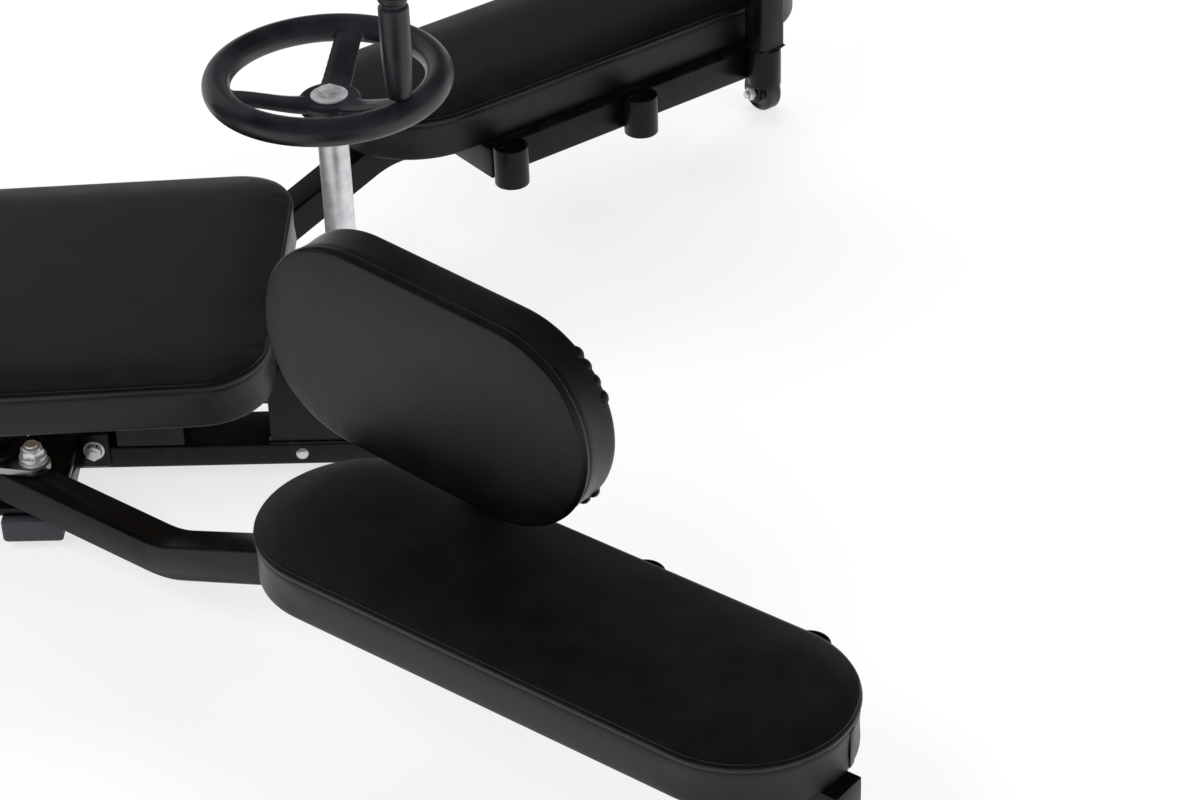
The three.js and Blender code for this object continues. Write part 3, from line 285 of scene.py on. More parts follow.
def make_world():
    world = bpy.data.worlds.new("studio")
    scene.world = world
    world.use_nodes = True
    tree = world.node_tree
    link = tree.links.new
    tree.nodes.clear()
    path = tree.nodes.new("ShaderNodeLightPath").outputs
    # Glossy rays see a studio: dark overhead, white near the horizon, a softbox behind
    towards = tree.nodes.new("ShaderNodeTexCoord").outputs["Generated"]
    split = tree.nodes.new("ShaderNodeSeparateXYZ")
    link(towards, split.inputs["Vector"])
    horizon = span(tree, split.outputs["Z"], HORIZON_RISE, 1.0, OVERHEAD_GLOSS)
    facing = tree.nodes.new("ShaderNodeVectorMath")
    facing.operation = "DOT_PRODUCT"
    link(towards, facing.inputs[0])
    facing.inputs[1].default_value = Vector(SOFTBOX_TOWARDS).normalized()
    softbox = span(tree, facing.outputs["Value"], SOFTBOX_EDGE, 0.0, SOFTBOX_GLOSS, "SMOOTHSTEP")
    gloss = tree.nodes.new("ShaderNodeBackground")
    link(math_node(tree, "ADD", horizon, softbox), gloss.inputs["Strength"])
    unseen = mix_shaders(
        tree, path["Is Glossy Ray"], background(tree, AMBIENT), gloss.outputs[0])
    out = tree.nodes.new("ShaderNodeOutputWorld")
    link(mix_shaders(tree, path["Is Camera Ray"], unseen, background(tree, 1.0)),
         out.inputs["Surface"])


def make_floor():
    bm = bmesh.new()
    bmesh.ops.create_grid(bm, x_segments=1, y_segments=1, size=FLOOR_HALF)
    mesh = bpy.data.meshes.new("floor")
    bm.to_mesh(mesh)
    bm.free()
    floor = bpy.data.objects.new("floor", mesh)
    scene.collection.objects.link(floor)
    material = bpy.data.materials.new("floor")
    material.use_nodes = True
    tree = material.node_tree
    link = tree.links.new
    tree.nodes.clear()
    path = tree.nodes.new("ShaderNodeLightPath").outputs
    papers = []
    for albedo in (FLOOR_ALBEDO, FLOOR_SEEN_ALBEDO):
        paper = tree.nodes.new("ShaderNodeBsdfDiffuse")
        paper.inputs["Color"].default_value = (albedo, albedo, albedo, 1)
        papers.append(paper.outputs[0])
    lift = tree.nodes.new("ShaderNodeEmission")
    lift.inputs["Strength"].default_value = FLOOR_LIFT
    lifted = tree.nodes.new("ShaderNodeAddShader")
    link(papers[1], lifted.inputs[0])
    link(lift.outputs[0], lifted.inputs[1])
    seen = math_node(tree, "MAXIMUM", path["Is Camera Ray"], path["Is Glossy Ray"])
    out = tree.nodes.new("ShaderNodeOutputMaterial")
    link(mix_shaders(tree, seen, papers[0], lifted.outputs[0]), out.inputs["Surface"])
    mesh.materials.append(material)


# Materials: shared effects as node groups, and one finish per record slot
def node_group(name, inputs, outputs):
    tree = bpy.data.node_groups.new(name, "ShaderNodeTree")
    for label, kind, value in inputs:
        socket = tree.interface.new_socket(label, in_out="INPUT", socket_type=kind)
        if value is not None:
            socket.default_value = value
    for label, kind in outputs:
        tree.interface.new_socket(label, in_out="OUTPUT", socket_type=kind)
    start = tree.nodes.new("NodeGroupInput")
    end = tree.nodes.new("NodeGroupOutput")
    return tree, start.outputs, end.inputs


def texture(tree, kind, vector, scale, **values):
    node = tree.nodes.new(kind)
    tree.links.new(vector, node.inputs["Vector"])
    if isinstance(scale, (int, float)):
        node.inputs["Scale"].default_value = scale
    else:
        tree.links.new(scale, node.inputs["Scale"])
    for label, value in values.items():
        node.inputs[label].default_value = value
    return node


def math_node(tree, operation, first, second):
    node = tree.nodes.new("ShaderNodeMath")
    node.operation = operation
    for socket, value in zip(node.inputs, (first, second)):
        if isinstance(value, (int, float)):
            socket.default_value = value
        else:
            tree.links.new(value, socket)
    return node.outputs[0]


def span(tree, value, bounds, to_low=0.0, to_high=1.0, interpolation="LINEAR"):
    """Spreads the part of a value that lies between two bounds over another range."""
    node = tree.nodes.new("ShaderNodeMapRange")
    node.interpolation_type = interpolation
    node.inputs["From Min"].default_value = bounds[0]
    node.inputs["From Max"].default_value = bounds[1]
    for label, bound in (("To Min", to_low), ("To Max", to_high)):
        if isinstance(bound, (int, float)):
            node.inputs[label].default_value = bound
        else:
            tree.links.new(bound, node.inputs[label])
    tree.links.new(value, node.inputs["Value"])
    return node.outputs["Result"]


def make_grain_group():
    """Leather grain: pebbles with creases between them, and a soft large-scale unevenness."""
    tree, given, made = node_group("grain", [
        ("Vector", "NodeSocketVector", None), ("Scale", "NodeSocketFloat", 700.0),
        ("Depth", "NodeSocketFloat", 1.0)], [
        ("Height", "NodeSocketFloat"), ("Tone", "NodeSocketFloat")])
    cells = texture(tree, "ShaderNodeTexVoronoi", given["Vector"], given["Scale"])
    cells.feature = "DISTANCE_TO_EDGE"
    crease = span(tree, cells.outputs["Distance"], CREASE_RANGE)
    fine = texture(tree, "ShaderNodeTexNoise", given["Vector"], FINE_GRAIN_SCALE, Detail=2.0)
    broad = texture(tree, "ShaderNodeTexNoise", given["Vector"], BROAD_GRAIN_SCALE, Detail=3.0)
    pores = math_node(tree, "MULTIPLY", fine.outputs["Fac"], FINE_GRAIN_SHARE)
    height = math_node(tree, "ADD", crease, pores)
    height = math_node(tree, "MULTIPLY", height, given["Depth"])
    tree.links.new(height, made["Height"])
    tree.links.new(span(tree, broad.outputs["Fac"], NOISE_RANGE), made["Tone"])
    return tree


def make_peel_group():
    """Orange peel of powder coat, and the dull bloom on moulded plastic."""
    tree, given, made = node_group("peel", [
        ("Vector", "NodeSocketVector", None), ("Scale", "NodeSocketFloat", 420.0),
        ("Depth", "NodeSocketFloat", 1.0)], [
        ("Height", "NodeSocketFloat"), ("Tone", "NodeSocketFloat")])
    lumps = texture(tree, "ShaderNodeTexNoise", given["Vector"], given["Scale"], Detail=1.5)
    broad = texture(tree, "ShaderNodeTexNoise", given["Vector"], BROAD_PEEL_SCALE, Detail=4.0)
    height = math_node(tree, "MULTIPLY", lumps.outputs["Fac"], given["Depth"])
    tree.links.new(height, made["Height"])
    tree.links.new(span(tree, broad.outputs["Fac"], NOISE_RANGE), made["Tone"])
    return tree


def make_wear_group():
    """A mask that is 1 on rubbed edges and 0 elsewhere, broken up by noise."""
    tree, given, made = node_group("edge_wear", [
        ("Vector", "NodeSocketVector", None), ("Amount", "NodeSocketFloat", 0.5)], [
        ("Mask", "NodeSocketFloat")])
    shape = tree.nodes.new("ShaderNodeNewGeometry")
    edge = span(tree, shape.outputs["Pointiness"], EDGE_RANGE)
    patches = texture(tree, "ShaderNodeTexNoise", given["Vector"], PATCH_SCALE, Detail=4.0)
    broken = span(tree, patches.outputs["Fac"], PATCH_RANGE)
    rubbed = math_node(tree, "MULTIPLY", edge, broken)
    tree.links.new(math_node(tree, "MULTIPLY", rubbed, given["Amount"]), made["Mask"])
    return tree


def make_streak_group():
    """Streaks along Z and cloudy spots, as on drawn and plated steel."""
    tree, given, made = node_group("streaks", [
        ("Vector", "NodeSocketVector", None), ("Stretch", "NodeSocketVector", (900, 900, 12))], [
        ("Height", "NodeSocketFloat"), ("Tone", "NodeSocketFloat")])
    mapping = tree.nodes.new("ShaderNodeMapping")
    tree.links.new(given["Vector"], mapping.inputs["Vector"])
    tree.links.new(given["Stretch"], mapping.inputs["Scale"])
    lines = texture(tree, "ShaderNodeTexNoise", mapping.outputs["Vector"], 1.0, Detail=3.0)
    clouds = texture(tree, "ShaderNodeTexNoise", given["Vector"], CLOUD_SCALE, Detail=5.0)
    tree.links.new(lines.outputs["Fac"], made["Height"])
    cloudy = span(tree, clouds.outputs["Fac"], CLOUD_RANGE)
    lined = span(tree, lines.outputs["Fac"], LINE_RANGE, 0.6, 1.0)
    tree.links.new(math_node(tree, "MULTIPLY", cloudy, lined), made["Tone"])
    return tree


GROUPS = {
    "grain": make_grain_group(), "peel": make_peel_group(),
    "edge_wear": make_wear_group(), "streaks": make_streak_group(),
}


def mix_colours(tree, share, first, second):
    node = tree.nodes.new("ShaderNodeMix")
    node.data_type = "RGBA"
    tree.links.new(share, node.inputs["Factor"])
    for label, colour in (("A", first), ("B", second)):
        if isinstance(colour, tuple):
            node.inputs[label].default_value = (*colour, 1)
        else:
            tree.links.new(colour, node.inputs[label])
    return node.outputs["Result"]


def finish_material(
        name, dark, light, rough, metallic=0.0, surface="peel", scale=420.0, bump=0.0002,
        wear=0.0, wear_colour=None, specular=0.5):
    """A finish: colour and roughness vary between two values by the surface group's tone."""
    material = bpy.data.materials.new(name)
    material.use_nodes = True
    tree = material.node_tree
    shader = tree.nodes["Principled BSDF"]
    shader.inputs["Metallic"].default_value = metallic
    shader.inputs["Specular IOR Level"].default_value = specular
    place = tree.nodes.new("ShaderNodeTexCoord").outputs["Object"]
    group = tree.nodes.new("ShaderNodeGroup")
    group.node_tree = GROUPS[surface]
    tree.links.new(place, group.inputs["Vector"])
    if surface != "streaks":
        group.inputs["Scale"].default_value = scale
    colour = mix_colours(tree, group.outputs["Tone"], dark, light)
    roughness = span(tree, group.outputs["Tone"], (0.0, 1.0), *rough)
    if wear:
        worn = tree.nodes.new("ShaderNodeGroup")
        worn.node_tree = GROUPS["edge_wear"]
        tree.links.new(place, worn.inputs["Vector"])
        worn.inputs["Amount"].default_value = wear
        colour = mix_colours(tree, worn.outputs["Mask"], colour, wear_colour)
    tree.links.new(colour, shader.inputs["Base Color"])
    tree.links.new(roughness, shader.inputs["Roughness"])
    relief = tree.nodes.new("ShaderNodeBump")
    relief.inputs["Strength"].default_value = 1.0
    relief.inputs["Distance"].default_value = bump
    tree.links.new(group.outputs["Height"], relief.inputs["Height"])
    tree.links.new(relief.outputs["Normal"], shader.inputs["Normal"])
    return material


FINISH = {
    "paint": finish_material(
        "paint", (0.0018, 0.0018, 0.0021), (0.0035, 0.0035, 0.004), (0.26, 0.38),
        scale=520.0, bump=0.00004, specular=0.2, wear=0.35, wear_colour=(0.03, 0.03, 0.032)),
    "vinyl": finish_material(
        "vinyl", (0.0034, 0.0034, 0.0044), (0.006, 0.006, 0.0076), (0.32, 0.42), surface="grain",
        scale=800.0, bump=0.00005, specular=0.32),
    "zinc": finish_material(
        "zinc", (0.66, 0.68, 0.7), (0.93, 0.94, 0.96), (0.28, 0.46), metallic=0.6,
        surface="streaks", bump=0.00001, wear=0.3, wear_colour=(0.4, 0.39, 0.37)),
    "steel": finish_material(
        "steel", (0.3, 0.3, 0.31), (0.5, 0.5, 0.51), (0.3, 0.5), metallic=1.0, surface="streaks",
        bump=0.00001),
    "grey_plastic": finish_material(
        "grey_plastic", (0.03, 0.032, 0.04), (0.045, 0.048, 0.06), (0.5, 0.62), scale=900.0,
        bump=0.00004),
    "black_plastic": finish_material(
        "black_plastic", (0.006, 0.006, 0.0085), (0.019, 0.019, 0.025), (0.27, 0.48),
        scale=700.0, bump=0.00012),
    "rubber": finish_material(
        "rubber", (0.012, 0.012, 0.012), (0.02, 0.02, 0.02), (0.7, 0.85), scale=900.0,
        bump=0.0001),
    "plywood": finish_material(
        "plywood", (0.3, 0.2, 0.11), (0.48, 0.35, 0.21), (0.6, 0.75), surface="streaks",
        bump=0.00005),
}


# Places: each turns a piece's millimetres into metres in the row frame
WORLD = Matrix.Scale(MM, 4)


def shift(x, y, z):
    return Matrix.Translation((x, y, z))


def turn(angle, axis):
    return Matrix.Rotation(angle, 4, axis)


ALONG_X = turn(math.pi / 2, "Y")


def leg_place(side):
    mirror = Matrix.Diagonal((1, SIDES[side], 1, 1))
    return WORLD @ mirror @ shift(PIVOT_X, PIVOT_Y, 0) @ turn(LEG_ANGLE, "Z")


def socket_a(step):
    return SOCKET_FIRST_A + step * SOCKET_PITCH


def upright_place(side):
    return leg_place(side) @ shift(socket_a(UPRIGHT_SOCKET_STEPS[side]), SOCKET_B, 0)


# Shapes
def together(*shapes):
    """One mesh of several shapes."""
    whole = bmesh.new()
    for shape in shapes:
        mesh = bpy.data.meshes.new("shape")
        shape.to_mesh(mesh)
        shape.free()
        whole.from_mesh(mesh)
        bpy.data.meshes.remove(mesh)
    return whole


def at(shape, place):
    bmesh.ops.transform(shape, matrix=place, verts=shape.verts)
    return shape


def soften(shape, edge, steps=2, above=BEVEL_ABOVE):
    sharp = [e for e in shape.edges if e.is_manifold and abs(e.calc_face_angle()) > above]
    bmesh.ops.bevel(
        shape, geom=sharp, offset=edge, offset_type="OFFSET", segments=steps, profile=0.5,
        affect="EDGES", clamp_overlap=True, material=-1)
    return shape


def block(low, high, edge=0, steps=3):
    shape = bmesh.new()
    bmesh.ops.create_cube(shape, size=1)
    size = [b - a for a, b in zip(low, high)]
    middle = [(a + b) / 2 for a, b in zip(low, high)]
    at(shape, shift(*middle) @ Matrix.Diagonal((*size, 1)))
    return soften(shape, edge, steps) if edge else shape


def turned(profile, steps=TURN_STEPS):
    """Spins a profile of (radius, height) points about Z."""
    shape = bmesh.new()
    points = [shape.verts.new((radius, 0, height)) for radius, height in profile]
    edges = [shape.edges.new(pair) for pair in zip(points, points[1:])]
    bmesh.ops.spin(
        shape, geom=points + edges, axis=(0, 0, 1), cent=(0, 0, 0), dvec=(0, 0, 0),
        angle=2 * math.pi, steps=steps, use_merge=True, use_duplicate=False)
    bmesh.ops.remove_doubles(shape, verts=shape.verts, dist=MERGE)
    return shape


def rounded(profile, radius, steps=3):
    """A profile with its inner corners rounded."""
    out = [profile[0]]
    for before, corner, after in zip(profile, profile[1:], profile[2:]):
        here, back, on = Vector(corner), Vector(before), Vector(after)
        shorter = min((back - here).length, (on - here).length)
        reach = min(radius, shorter / SIDE_DIVISOR)
        start = here + (back - here).normalized() * reach
        end = here + (on - here).normalized() * reach
        for k in range(steps + 1):
            t = k / steps
            out.append(tuple(start * (1 - t) ** 2 + here * 2 * t * (1 - t) + end * t ** 2))
    out.append(profile[-1])
    return out


def rod(radius, low, high, edge=0.6, steps=TURN_STEPS):
    return turned(rounded([(0, low), (radius, low), (radius, high), (0, high)], edge), steps)


def pipe(outer, inner, low, high, edge=0.8, steps=TURN_STEPS):
    middle = (inner, (low + high) / 2)
    rim = [(inner, low), (outer, low), (outer, high), (inner, high)]
    return turned(rounded([middle, *rim, middle], edge), steps)


def hexagon(flats, low, high, chamfer=0.9):
    shape = bmesh.new()
    corner = flats / math.sqrt(3)
    bmesh.ops.create_cone(
        shape, cap_ends=True, segments=6, radius1=corner, radius2=corner, depth=high - low)
    at(shape, shift(0, 0, (low + high) / 2))
    return soften(shape, chamfer)


def lock_nut(flats, low, height, bore):
    """A hexagon nut with its round nylon collar and the bolt's end in it."""
    foot, shoulder, high = low + height * 0.6, low + height * 0.72, low + height
    collar = rounded([
        (bore + 0.5, foot), (bore + 0.5, high), (flats * 0.42, high), (flats * 0.48, shoulder),
        (flats * 0.48, foot)], 0.8)
    return together(
        hexagon(flats, low, shoulder), turned(collar, SMALL_TURN_STEPS),
        rod(bore, low, high + 3, 1.2, SMALL_TURN_STEPS))


def washer(radius, low, thickness):
    return rod(radius, low, low + thickness, 0.5, SMALL_TURN_STEPS)


# Finished pieces
def piece(name, shape, node, slot, place=WORLD, replaces=True, smooth_below=SMOOTH_BELOW):
    """Finishes a mesh: its place, closed seams, faces pointing out, finish, body and CAD node."""
    bmesh.ops.remove_doubles(shape, verts=shape.verts, dist=MERGE)
    at(shape, place)
    bmesh.ops.recalc_face_normals(shape, faces=shape.faces)
    mesh = bpy.data.meshes.new(name)
    shape.to_mesh(mesh)
    shape.free()
    mesh.shade_smooth()
    mesh.set_sharp_from_angle(angle=smooth_below)
    mesh.materials.append(FINISH[slot])
    made = bpy.data.objects.new(name, mesh)
    scene.collection.objects.link(made)
    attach(made, BODY_OF[node])
    if replaces:
        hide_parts(node)
    return made


def refined(node, slot, edge=0.8, steps=2):
    """A CAD node with its sharp edges rounded, in its own place."""
    shape = bmesh.new()
    shape.from_mesh(frame["nodes"][node].data)
    at(shape, Matrix.Scale(1 / MM, 4))
    bmesh.ops.remove_doubles(shape, verts=shape.verts, dist=MERGE)
    bmesh.ops.dissolve_limit(
        shape, angle_limit=FLAT_WITHIN, verts=shape.verts, edges=shape.edges,
        use_dissolve_boundaries=False, delimit=set())
    if edge:
        soften(shape, edge, steps)
    return piece(f"{node}_finished", shape, node, slot)


# Padded pieces
def rim_point(x, y, length, width, corner):
    """Moves a point of a rectangle onto the same place of a rounded rectangle."""
    flat_x, flat_y = length / 2 - corner, width / 2 - corner
    w = max(0, abs(x) - flat_x) / corner
    t = max(0, abs(y) - flat_y) / corner
    out_x = min(abs(x), flat_x) + corner * w * math.sqrt(1 - t * t / 2)
    out_y = min(abs(y), flat_y) + corner * t * math.sqrt(1 - w * w / 2)
    return math.copysign(out_x, x), math.copysign(out_y, y)


def rim_inset(x, y, length, width, corner):
    """Distance of a point from the rim of a rounded rectangle, inwards."""
    dx = abs(x) - (length / 2 - corner)
    dy = abs(y) - (width / 2 - corner)
    return corner - math.hypot(max(dx, 0), max(dy, 0)) - min(max(dx, dy), 0)


def rim_normal(x, y, length, width, corner):
    dx = math.copysign(max(0, abs(x) - (length / 2 - corner)), x)
    dy = math.copysign(max(0, abs(y) - (width / 2 - corner)), y)
    size = math.hypot(dx, dy)
    return (dx / size, dy / size) if size else (0, 0)


def pad_shell(length, width, corner, skirt, board):
    """A boxed cushion: panel, sunk seam, top-stitched side band and turned-in hem."""
    shape = bmesh.new()
    hold = shape.verts.layers.int.new("hold")
    cells_x, cells_y = round(length / PANEL_CELL), round(width / PANEL_CELL)
    bmesh.ops.create_grid(shape, x_segments=cells_x, y_segments=cells_y, size=0.5)
    for vert in shape.verts:
        x, y = rim_point(vert.co.x * length, vert.co.y * width, length, width, corner)
        roll = 1 - max(0, 1 - rim_inset(x, y, length, width, corner) / PANEL_ROLL) ** 2
        vert.co = (x, y, skirt + PANEL_RISE * roll)
        vert[hold] = HELD if vert.is_boundary else FREE
    rim = [e for e in shape.edges if e.is_boundary]
    stitch = skirt - TOPSTITCH_DROP
    rows = [
        (SEAM_DEPTH, skirt - SEAM_HALF, HELD), (0, skirt - 2 * SEAM_HALF, HELD),
        (-STRIP_BULGE, (skirt + stitch) / 2, HELD), (0, stitch + SEAM_HALF, HELD),
        (TOPSTITCH_DEPTH, stitch, HELD), (0, stitch - SEAM_HALF, HELD)]
    for k in range(1, BAND_ROWS):
        rise = 1 - k / BAND_ROWS
        rows.append((BAND_DRAW * math.sin(math.pi * rise), (stitch - SEAM_HALF) * rise, FREE))
    rows += [(inset, height, HELD) for inset, height in (*HEM, (BOARD_INSET, 0))]
    if board:
        rows.append((BOARD_INSET, BOARD_ROOM, HELD))
    deepest = 0
    for inset, height, state in rows:
        made = bmesh.ops.extrude_edge_only(shape, edges=rim)["geom"]
        for vert in made:
            if isinstance(vert, bmesh.types.BMVert):
                nx, ny = rim_normal(
                    vert.co.x, vert.co.y, length - 2 * deepest, width - 2 * deepest,
                    corner - deepest)
                vert.co.x -= nx * (inset - deepest)
                vert.co.y -= ny * (inset - deepest)
                vert.co.z = height
                vert[hold] = state
        deepest = inset
        rim = [e for e in made if isinstance(e, bmesh.types.BMEdge) and e.is_boundary]
    underside = bmesh.ops.contextual_create(shape, geom=rim)["faces"]
    # One face with hundreds of corners would make the subdivision slow
    bmesh.ops.triangulate(shape, faces=underside, quad_method="BEAUTY", ngon_method="BEAUTY")
    bmesh.ops.recalc_face_normals(shape, faces=shape.faces)
    return shape


def inflate(shape, name):
    """Blows a cushion up with a short cloth simulation, its seams and hem held."""
    mesh = bpy.data.meshes.new(name)
    shape.to_mesh(mesh)
    hold = shape.verts.layers.int["hold"]
    held_points = [vert.index for vert in shape.verts if vert[hold] == HELD]
    mesh.transform(WORLD)
    blown = bpy.data.objects.new(name, mesh)
    scene.collection.objects.link(blown)
    blown.vertex_groups.new(name="held").add(held_points, 1.0, "REPLACE")
    cloth = blown.modifiers.new("cloth", "CLOTH")
    cloth.settings.use_pressure = True
    cloth.settings.uniform_pressure_force = PAD_PRESSURE
    cloth.settings.vertex_group_mass = "held"
    cloth.settings.effector_weights.gravity = 0
    cloth.point_cache.frame_start = 1
    cloth.point_cache.frame_end = PAD_FRAMES
    for number in range(1, PAD_FRAMES + 1):
        scene.frame_set(number)
    seen = blown.evaluated_get(bpy.context.evaluated_depsgraph_get())
    for vert, after in zip(shape.verts, [v.co / MM for v in seen.data.vertices]):
        move = after - vert.co
        if move.length:
            vert.co += move * (PAD_CAP * math.tanh(move.length / PAD_CAP) / move.length)
    bpy.data.objects.remove(blown)
    scene.frame_set(1)


def rim_walk(length, width, corner, inset, pitch):
    """Even steps along a rounded rectangle: place and direction of each."""
    radius = corner - inset
    flat_x, flat_y = length / 2 - corner, width / 2 - corner
    corners = [(flat_x, flat_y), (-flat_x, flat_y), (-flat_x, -flat_y), (flat_x, -flat_y)]
    points = []
    for quarter, (cx, cy) in enumerate(corners):
        for k in range(CORNER_STEPS):
            angle = (quarter + k / (CORNER_STEPS - 1)) * math.pi / 2
            points.append(Vector((
                cx + radius * math.cos(angle), cy + radius * math.sin(angle), 0)))
    points.append(points[0])
    left = 0
    for a, b in zip(points, points[1:]):
        span_length = (b - a).length
        while span_length and left <= span_length:
            yield a.lerp(b, left / span_length), math.atan2(b.y - a.y, b.x - a.x)
            left += pitch
        left -= span_length


def stitches(length, width, corner, skirt):
    shapes = []
    for height, inset in ((skirt - SEAM_HALF, SEAM_DEPTH * 0.75), (skirt - TOPSTITCH_DROP, 0.2)):
        for point, direction in rim_walk(length, width, corner, inset, STITCH_PITCH):
            stitch = bmesh.new()
            bmesh.ops.create_icosphere(stitch, subdivisions=1, radius=1)
            shapes.append(at(
                stitch, shift(point.x, point.y, height) @ turn(direction, "Z")
                @ Matrix.Diagonal((*STITCH_SIZE, 1))))
    return together(*shapes)


def cushion(node, place, length, width, corner, skirt, board=True):
    """A padded cover with its subdivision, and the stitches of its seams."""
    shape = pad_shell(length, width, corner, skirt, board)
    inflate(shape, f"{node}_cloth")
    cover = piece(f"{node}_cover", shape, node, "vinyl", place, smooth_below=ALL_SMOOTH)
    smooth = cover.modifiers.new("smooth", "SUBSURF")
    smooth.levels = smooth.render_levels = 1
    piece(
        f"{node}_stitches", stitches(length, width, corner, skirt), node, "vinyl", place,
        replaces=False, smooth_below=ALL_SMOOTH)


def make_pads():
    leg_length, leg_width = LEG_PAD_SIZE
    upright_length, upright_width = UPRIGHT_PAD_SIZE
    middle_x = (upright_length - upright_width) / 2
    for side in SIDES:
        place = leg_place(side) @ shift(*LEG_PAD_AT)
        cushion(f"{side}_leg_pad", place, leg_length, leg_width, leg_width / 2, LEG_PAD_SKIRT)
        lap = block(LAP_LOW, LAP_HIGH, 0.6, 2)
        lap_place = (
            place @ shift(leg_length / 2 - leg_width / 2, 0, 0) @ turn(LAP_ANGLE, "Z")
            @ shift(leg_width / 2 - LAP_SINK, 0, 0))
        piece(f"{side}_band_lap", lap, f"{side}_leg_pad", "vinyl", lap_place, replaces=False)
        place = (
            upright_place(side) @ shift(0, UPRIGHT_PAD_BACK, UPRIGHT_PAD_Z)
            @ turn(UPRIGHT_PAD_DROOP, "Y") @ turn(-math.pi / 2, "X"))
        cushion(
            f"{side}_upright_pad", place, upright_length, upright_width, upright_width / 2,
            UPRIGHT_PAD_SKIRT, board=False)
        pleats = []
        for k, angle in enumerate(PLEAT_ANGLES):
            lump = bmesh.new()
            bmesh.ops.create_uvsphere(lump, u_segments=12, v_segments=8, radius=1)
            reach = PLEAT_REACH + PLEAT_SWAY * math.sin(PLEAT_SWAY_STEP * k)
            x, y = middle_x + reach * math.cos(angle), reach * math.sin(angle)
            pleats.append(at(
                lump, shift(x, y, PLEAT_RISE) @ turn(angle, "Z")
                @ Matrix.Diagonal((*PLEAT_SIZE, 1))))
        piece(
            f"{side}_upright_pleats", together(*pleats), f"{side}_upright_pad", "vinyl", place,
            replaces=False, smooth_below=ALL_SMOOTH)
    place = WORLD @ shift(*SEAT_AT) @ turn(SEAT_TILT, "Y") @ shift(-SEAT_PAD_BACK, 0, 0)
    cushion("seat_pad", place, *SEAT_PAD_SIZE, SEAT_PAD_CORNER, SEAT_SKIRT)
    place = (
        WORLD @ shift(*BACKREST_PIN_AT) @ turn(BACKREST_TILT, "Y") @ shift(*BACKREST_PAD_AT)
        @ turn(math.pi, "X") @ turn(math.pi / 2, "Y"))
    cushion(
        "backrest_pad", place, *BACKREST_PAD_SIZE, BACKREST_PAD_CORNER, SEAT_SKIRT, board=False)


# Drive: handwheel, shaft, grip and screw
def blend(ends, share):
    return ends[0] + (ends[1] - ends[0]) * share


def handwheel_shape():
    ring = bmesh.new()
    bmesh.ops.create_circle(ring, cap_ends=False, segments=28, radius=RING_TUBE)
    at(ring, shift(RING_RADIUS, 0, WHEEL_Z) @ turn(math.pi / 2, "X"))
    bmesh.ops.spin(
        ring, geom=ring.verts[:] + ring.edges[:], axis=(0, 0, 1), cent=(0, 0, 0), dvec=(0, 0, 0),
        angle=2 * math.pi, steps=120, use_merge=True, use_duplicate=False)
    hub = rod(HUB_RADIUS, HUB_BOTTOM_Z, HUB_TOP_Z, 4)
    middle = (HUB_BOTTOM_Z + HUB_TOP_Z) / 2 + SPOKE_RISE
    spokes = []
    for k in range(SPOKE_COUNT):
        spoke = bmesh.new()
        bmesh.ops.create_grid(spoke, x_segments=12, y_segments=4, size=0.5)
        bmesh.ops.solidify(spoke, geom=spoke.faces[:], thickness=0.5)
        lowest = min(round(vert.co.z, 5) for vert in spoke.verts)
        for vert in spoke.verts:
            share = vert.co.x + 0.5
            ease = share * share * (3 - 2 * share)
            side = -1 if round(vert.co.z, 5) == lowest else 1
            edge = 1 - SPOKE_ROUNDING * (2 * abs(vert.co.y)) ** 4
            vert.co = (
                blend((SPOKE_START, RING_RADIUS), share), vert.co.y * blend(SPOKE_WIDTHS, ease),
                blend((middle, WHEEL_Z), ease) + side * blend(SPOKE_THICKNESSES, ease) / 2 * edge)
        spokes.append(at(spoke, turn(SPOKE_ANGLE + k * 2 * math.pi / SPOKE_COUNT, "Z")))
    return together(ring, hub, *spokes)


def moulded(shape, voxel, passes):
    """Melts overlapping shapes into one moulding with small fillets where they meet."""
    bmesh.ops.recalc_face_normals(shape, faces=shape.faces)
    mesh = bpy.data.meshes.new("moulding")
    shape.to_mesh(mesh)
    shape.free()
    lump = bpy.data.objects.new("moulding", mesh)
    scene.collection.objects.link(lump)
    remesh = lump.modifiers.new("remesh", "REMESH")
    remesh.mode = "VOXEL"
    remesh.voxel_size = voxel
    seen = lump.evaluated_get(bpy.context.evaluated_depsgraph_get())
    out = bmesh.new()
    out.from_mesh(seen.data)
    bpy.data.objects.remove(lump)
    for _ in range(passes):
        bmesh.ops.smooth_vert(
            out, verts=out.verts, factor=0.5, use_axis_x=True, use_axis_y=True, use_axis_z=True)
    return out


def make_drive():
    piece(
        "handwheel_moulding", moulded(handwheel_shape(), MOULD_VOXEL, MOULD_PASSES), "handwheel",
        "black_plastic", smooth_below=MOULDING_SMOOTH)
    neck, stud, hub_foot = SHAFT_NECK_RADIUS, SHAFT_STUD_RADIUS, HUB_BOTTOM_Z - FIT_GAP
    shaft = turned(rounded([
        (0, SHAFT_FOOT_Z), (neck, SHAFT_FOOT_Z), (neck, SHAFT_SHOULDER_Z),
        (SHAFT_RADIUS, SHAFT_SHOULDER_Z), (SHAFT_RADIUS, hub_foot), (stud, hub_foot),
        (stud, HUB_BOTTOM_Z + 10), (0, HUB_BOTTOM_Z + 10)], 0.8))
    piece("drive_shaft_turned", shaft, "drive_shaft", "zinc")
    piece("hub_bolt_turned", hub_bolt_shape(), "hub_bolt", "zinc")
    make_grip()
    piece("lead_screw_threaded", screw_shape(), "lead_screw", "steel")


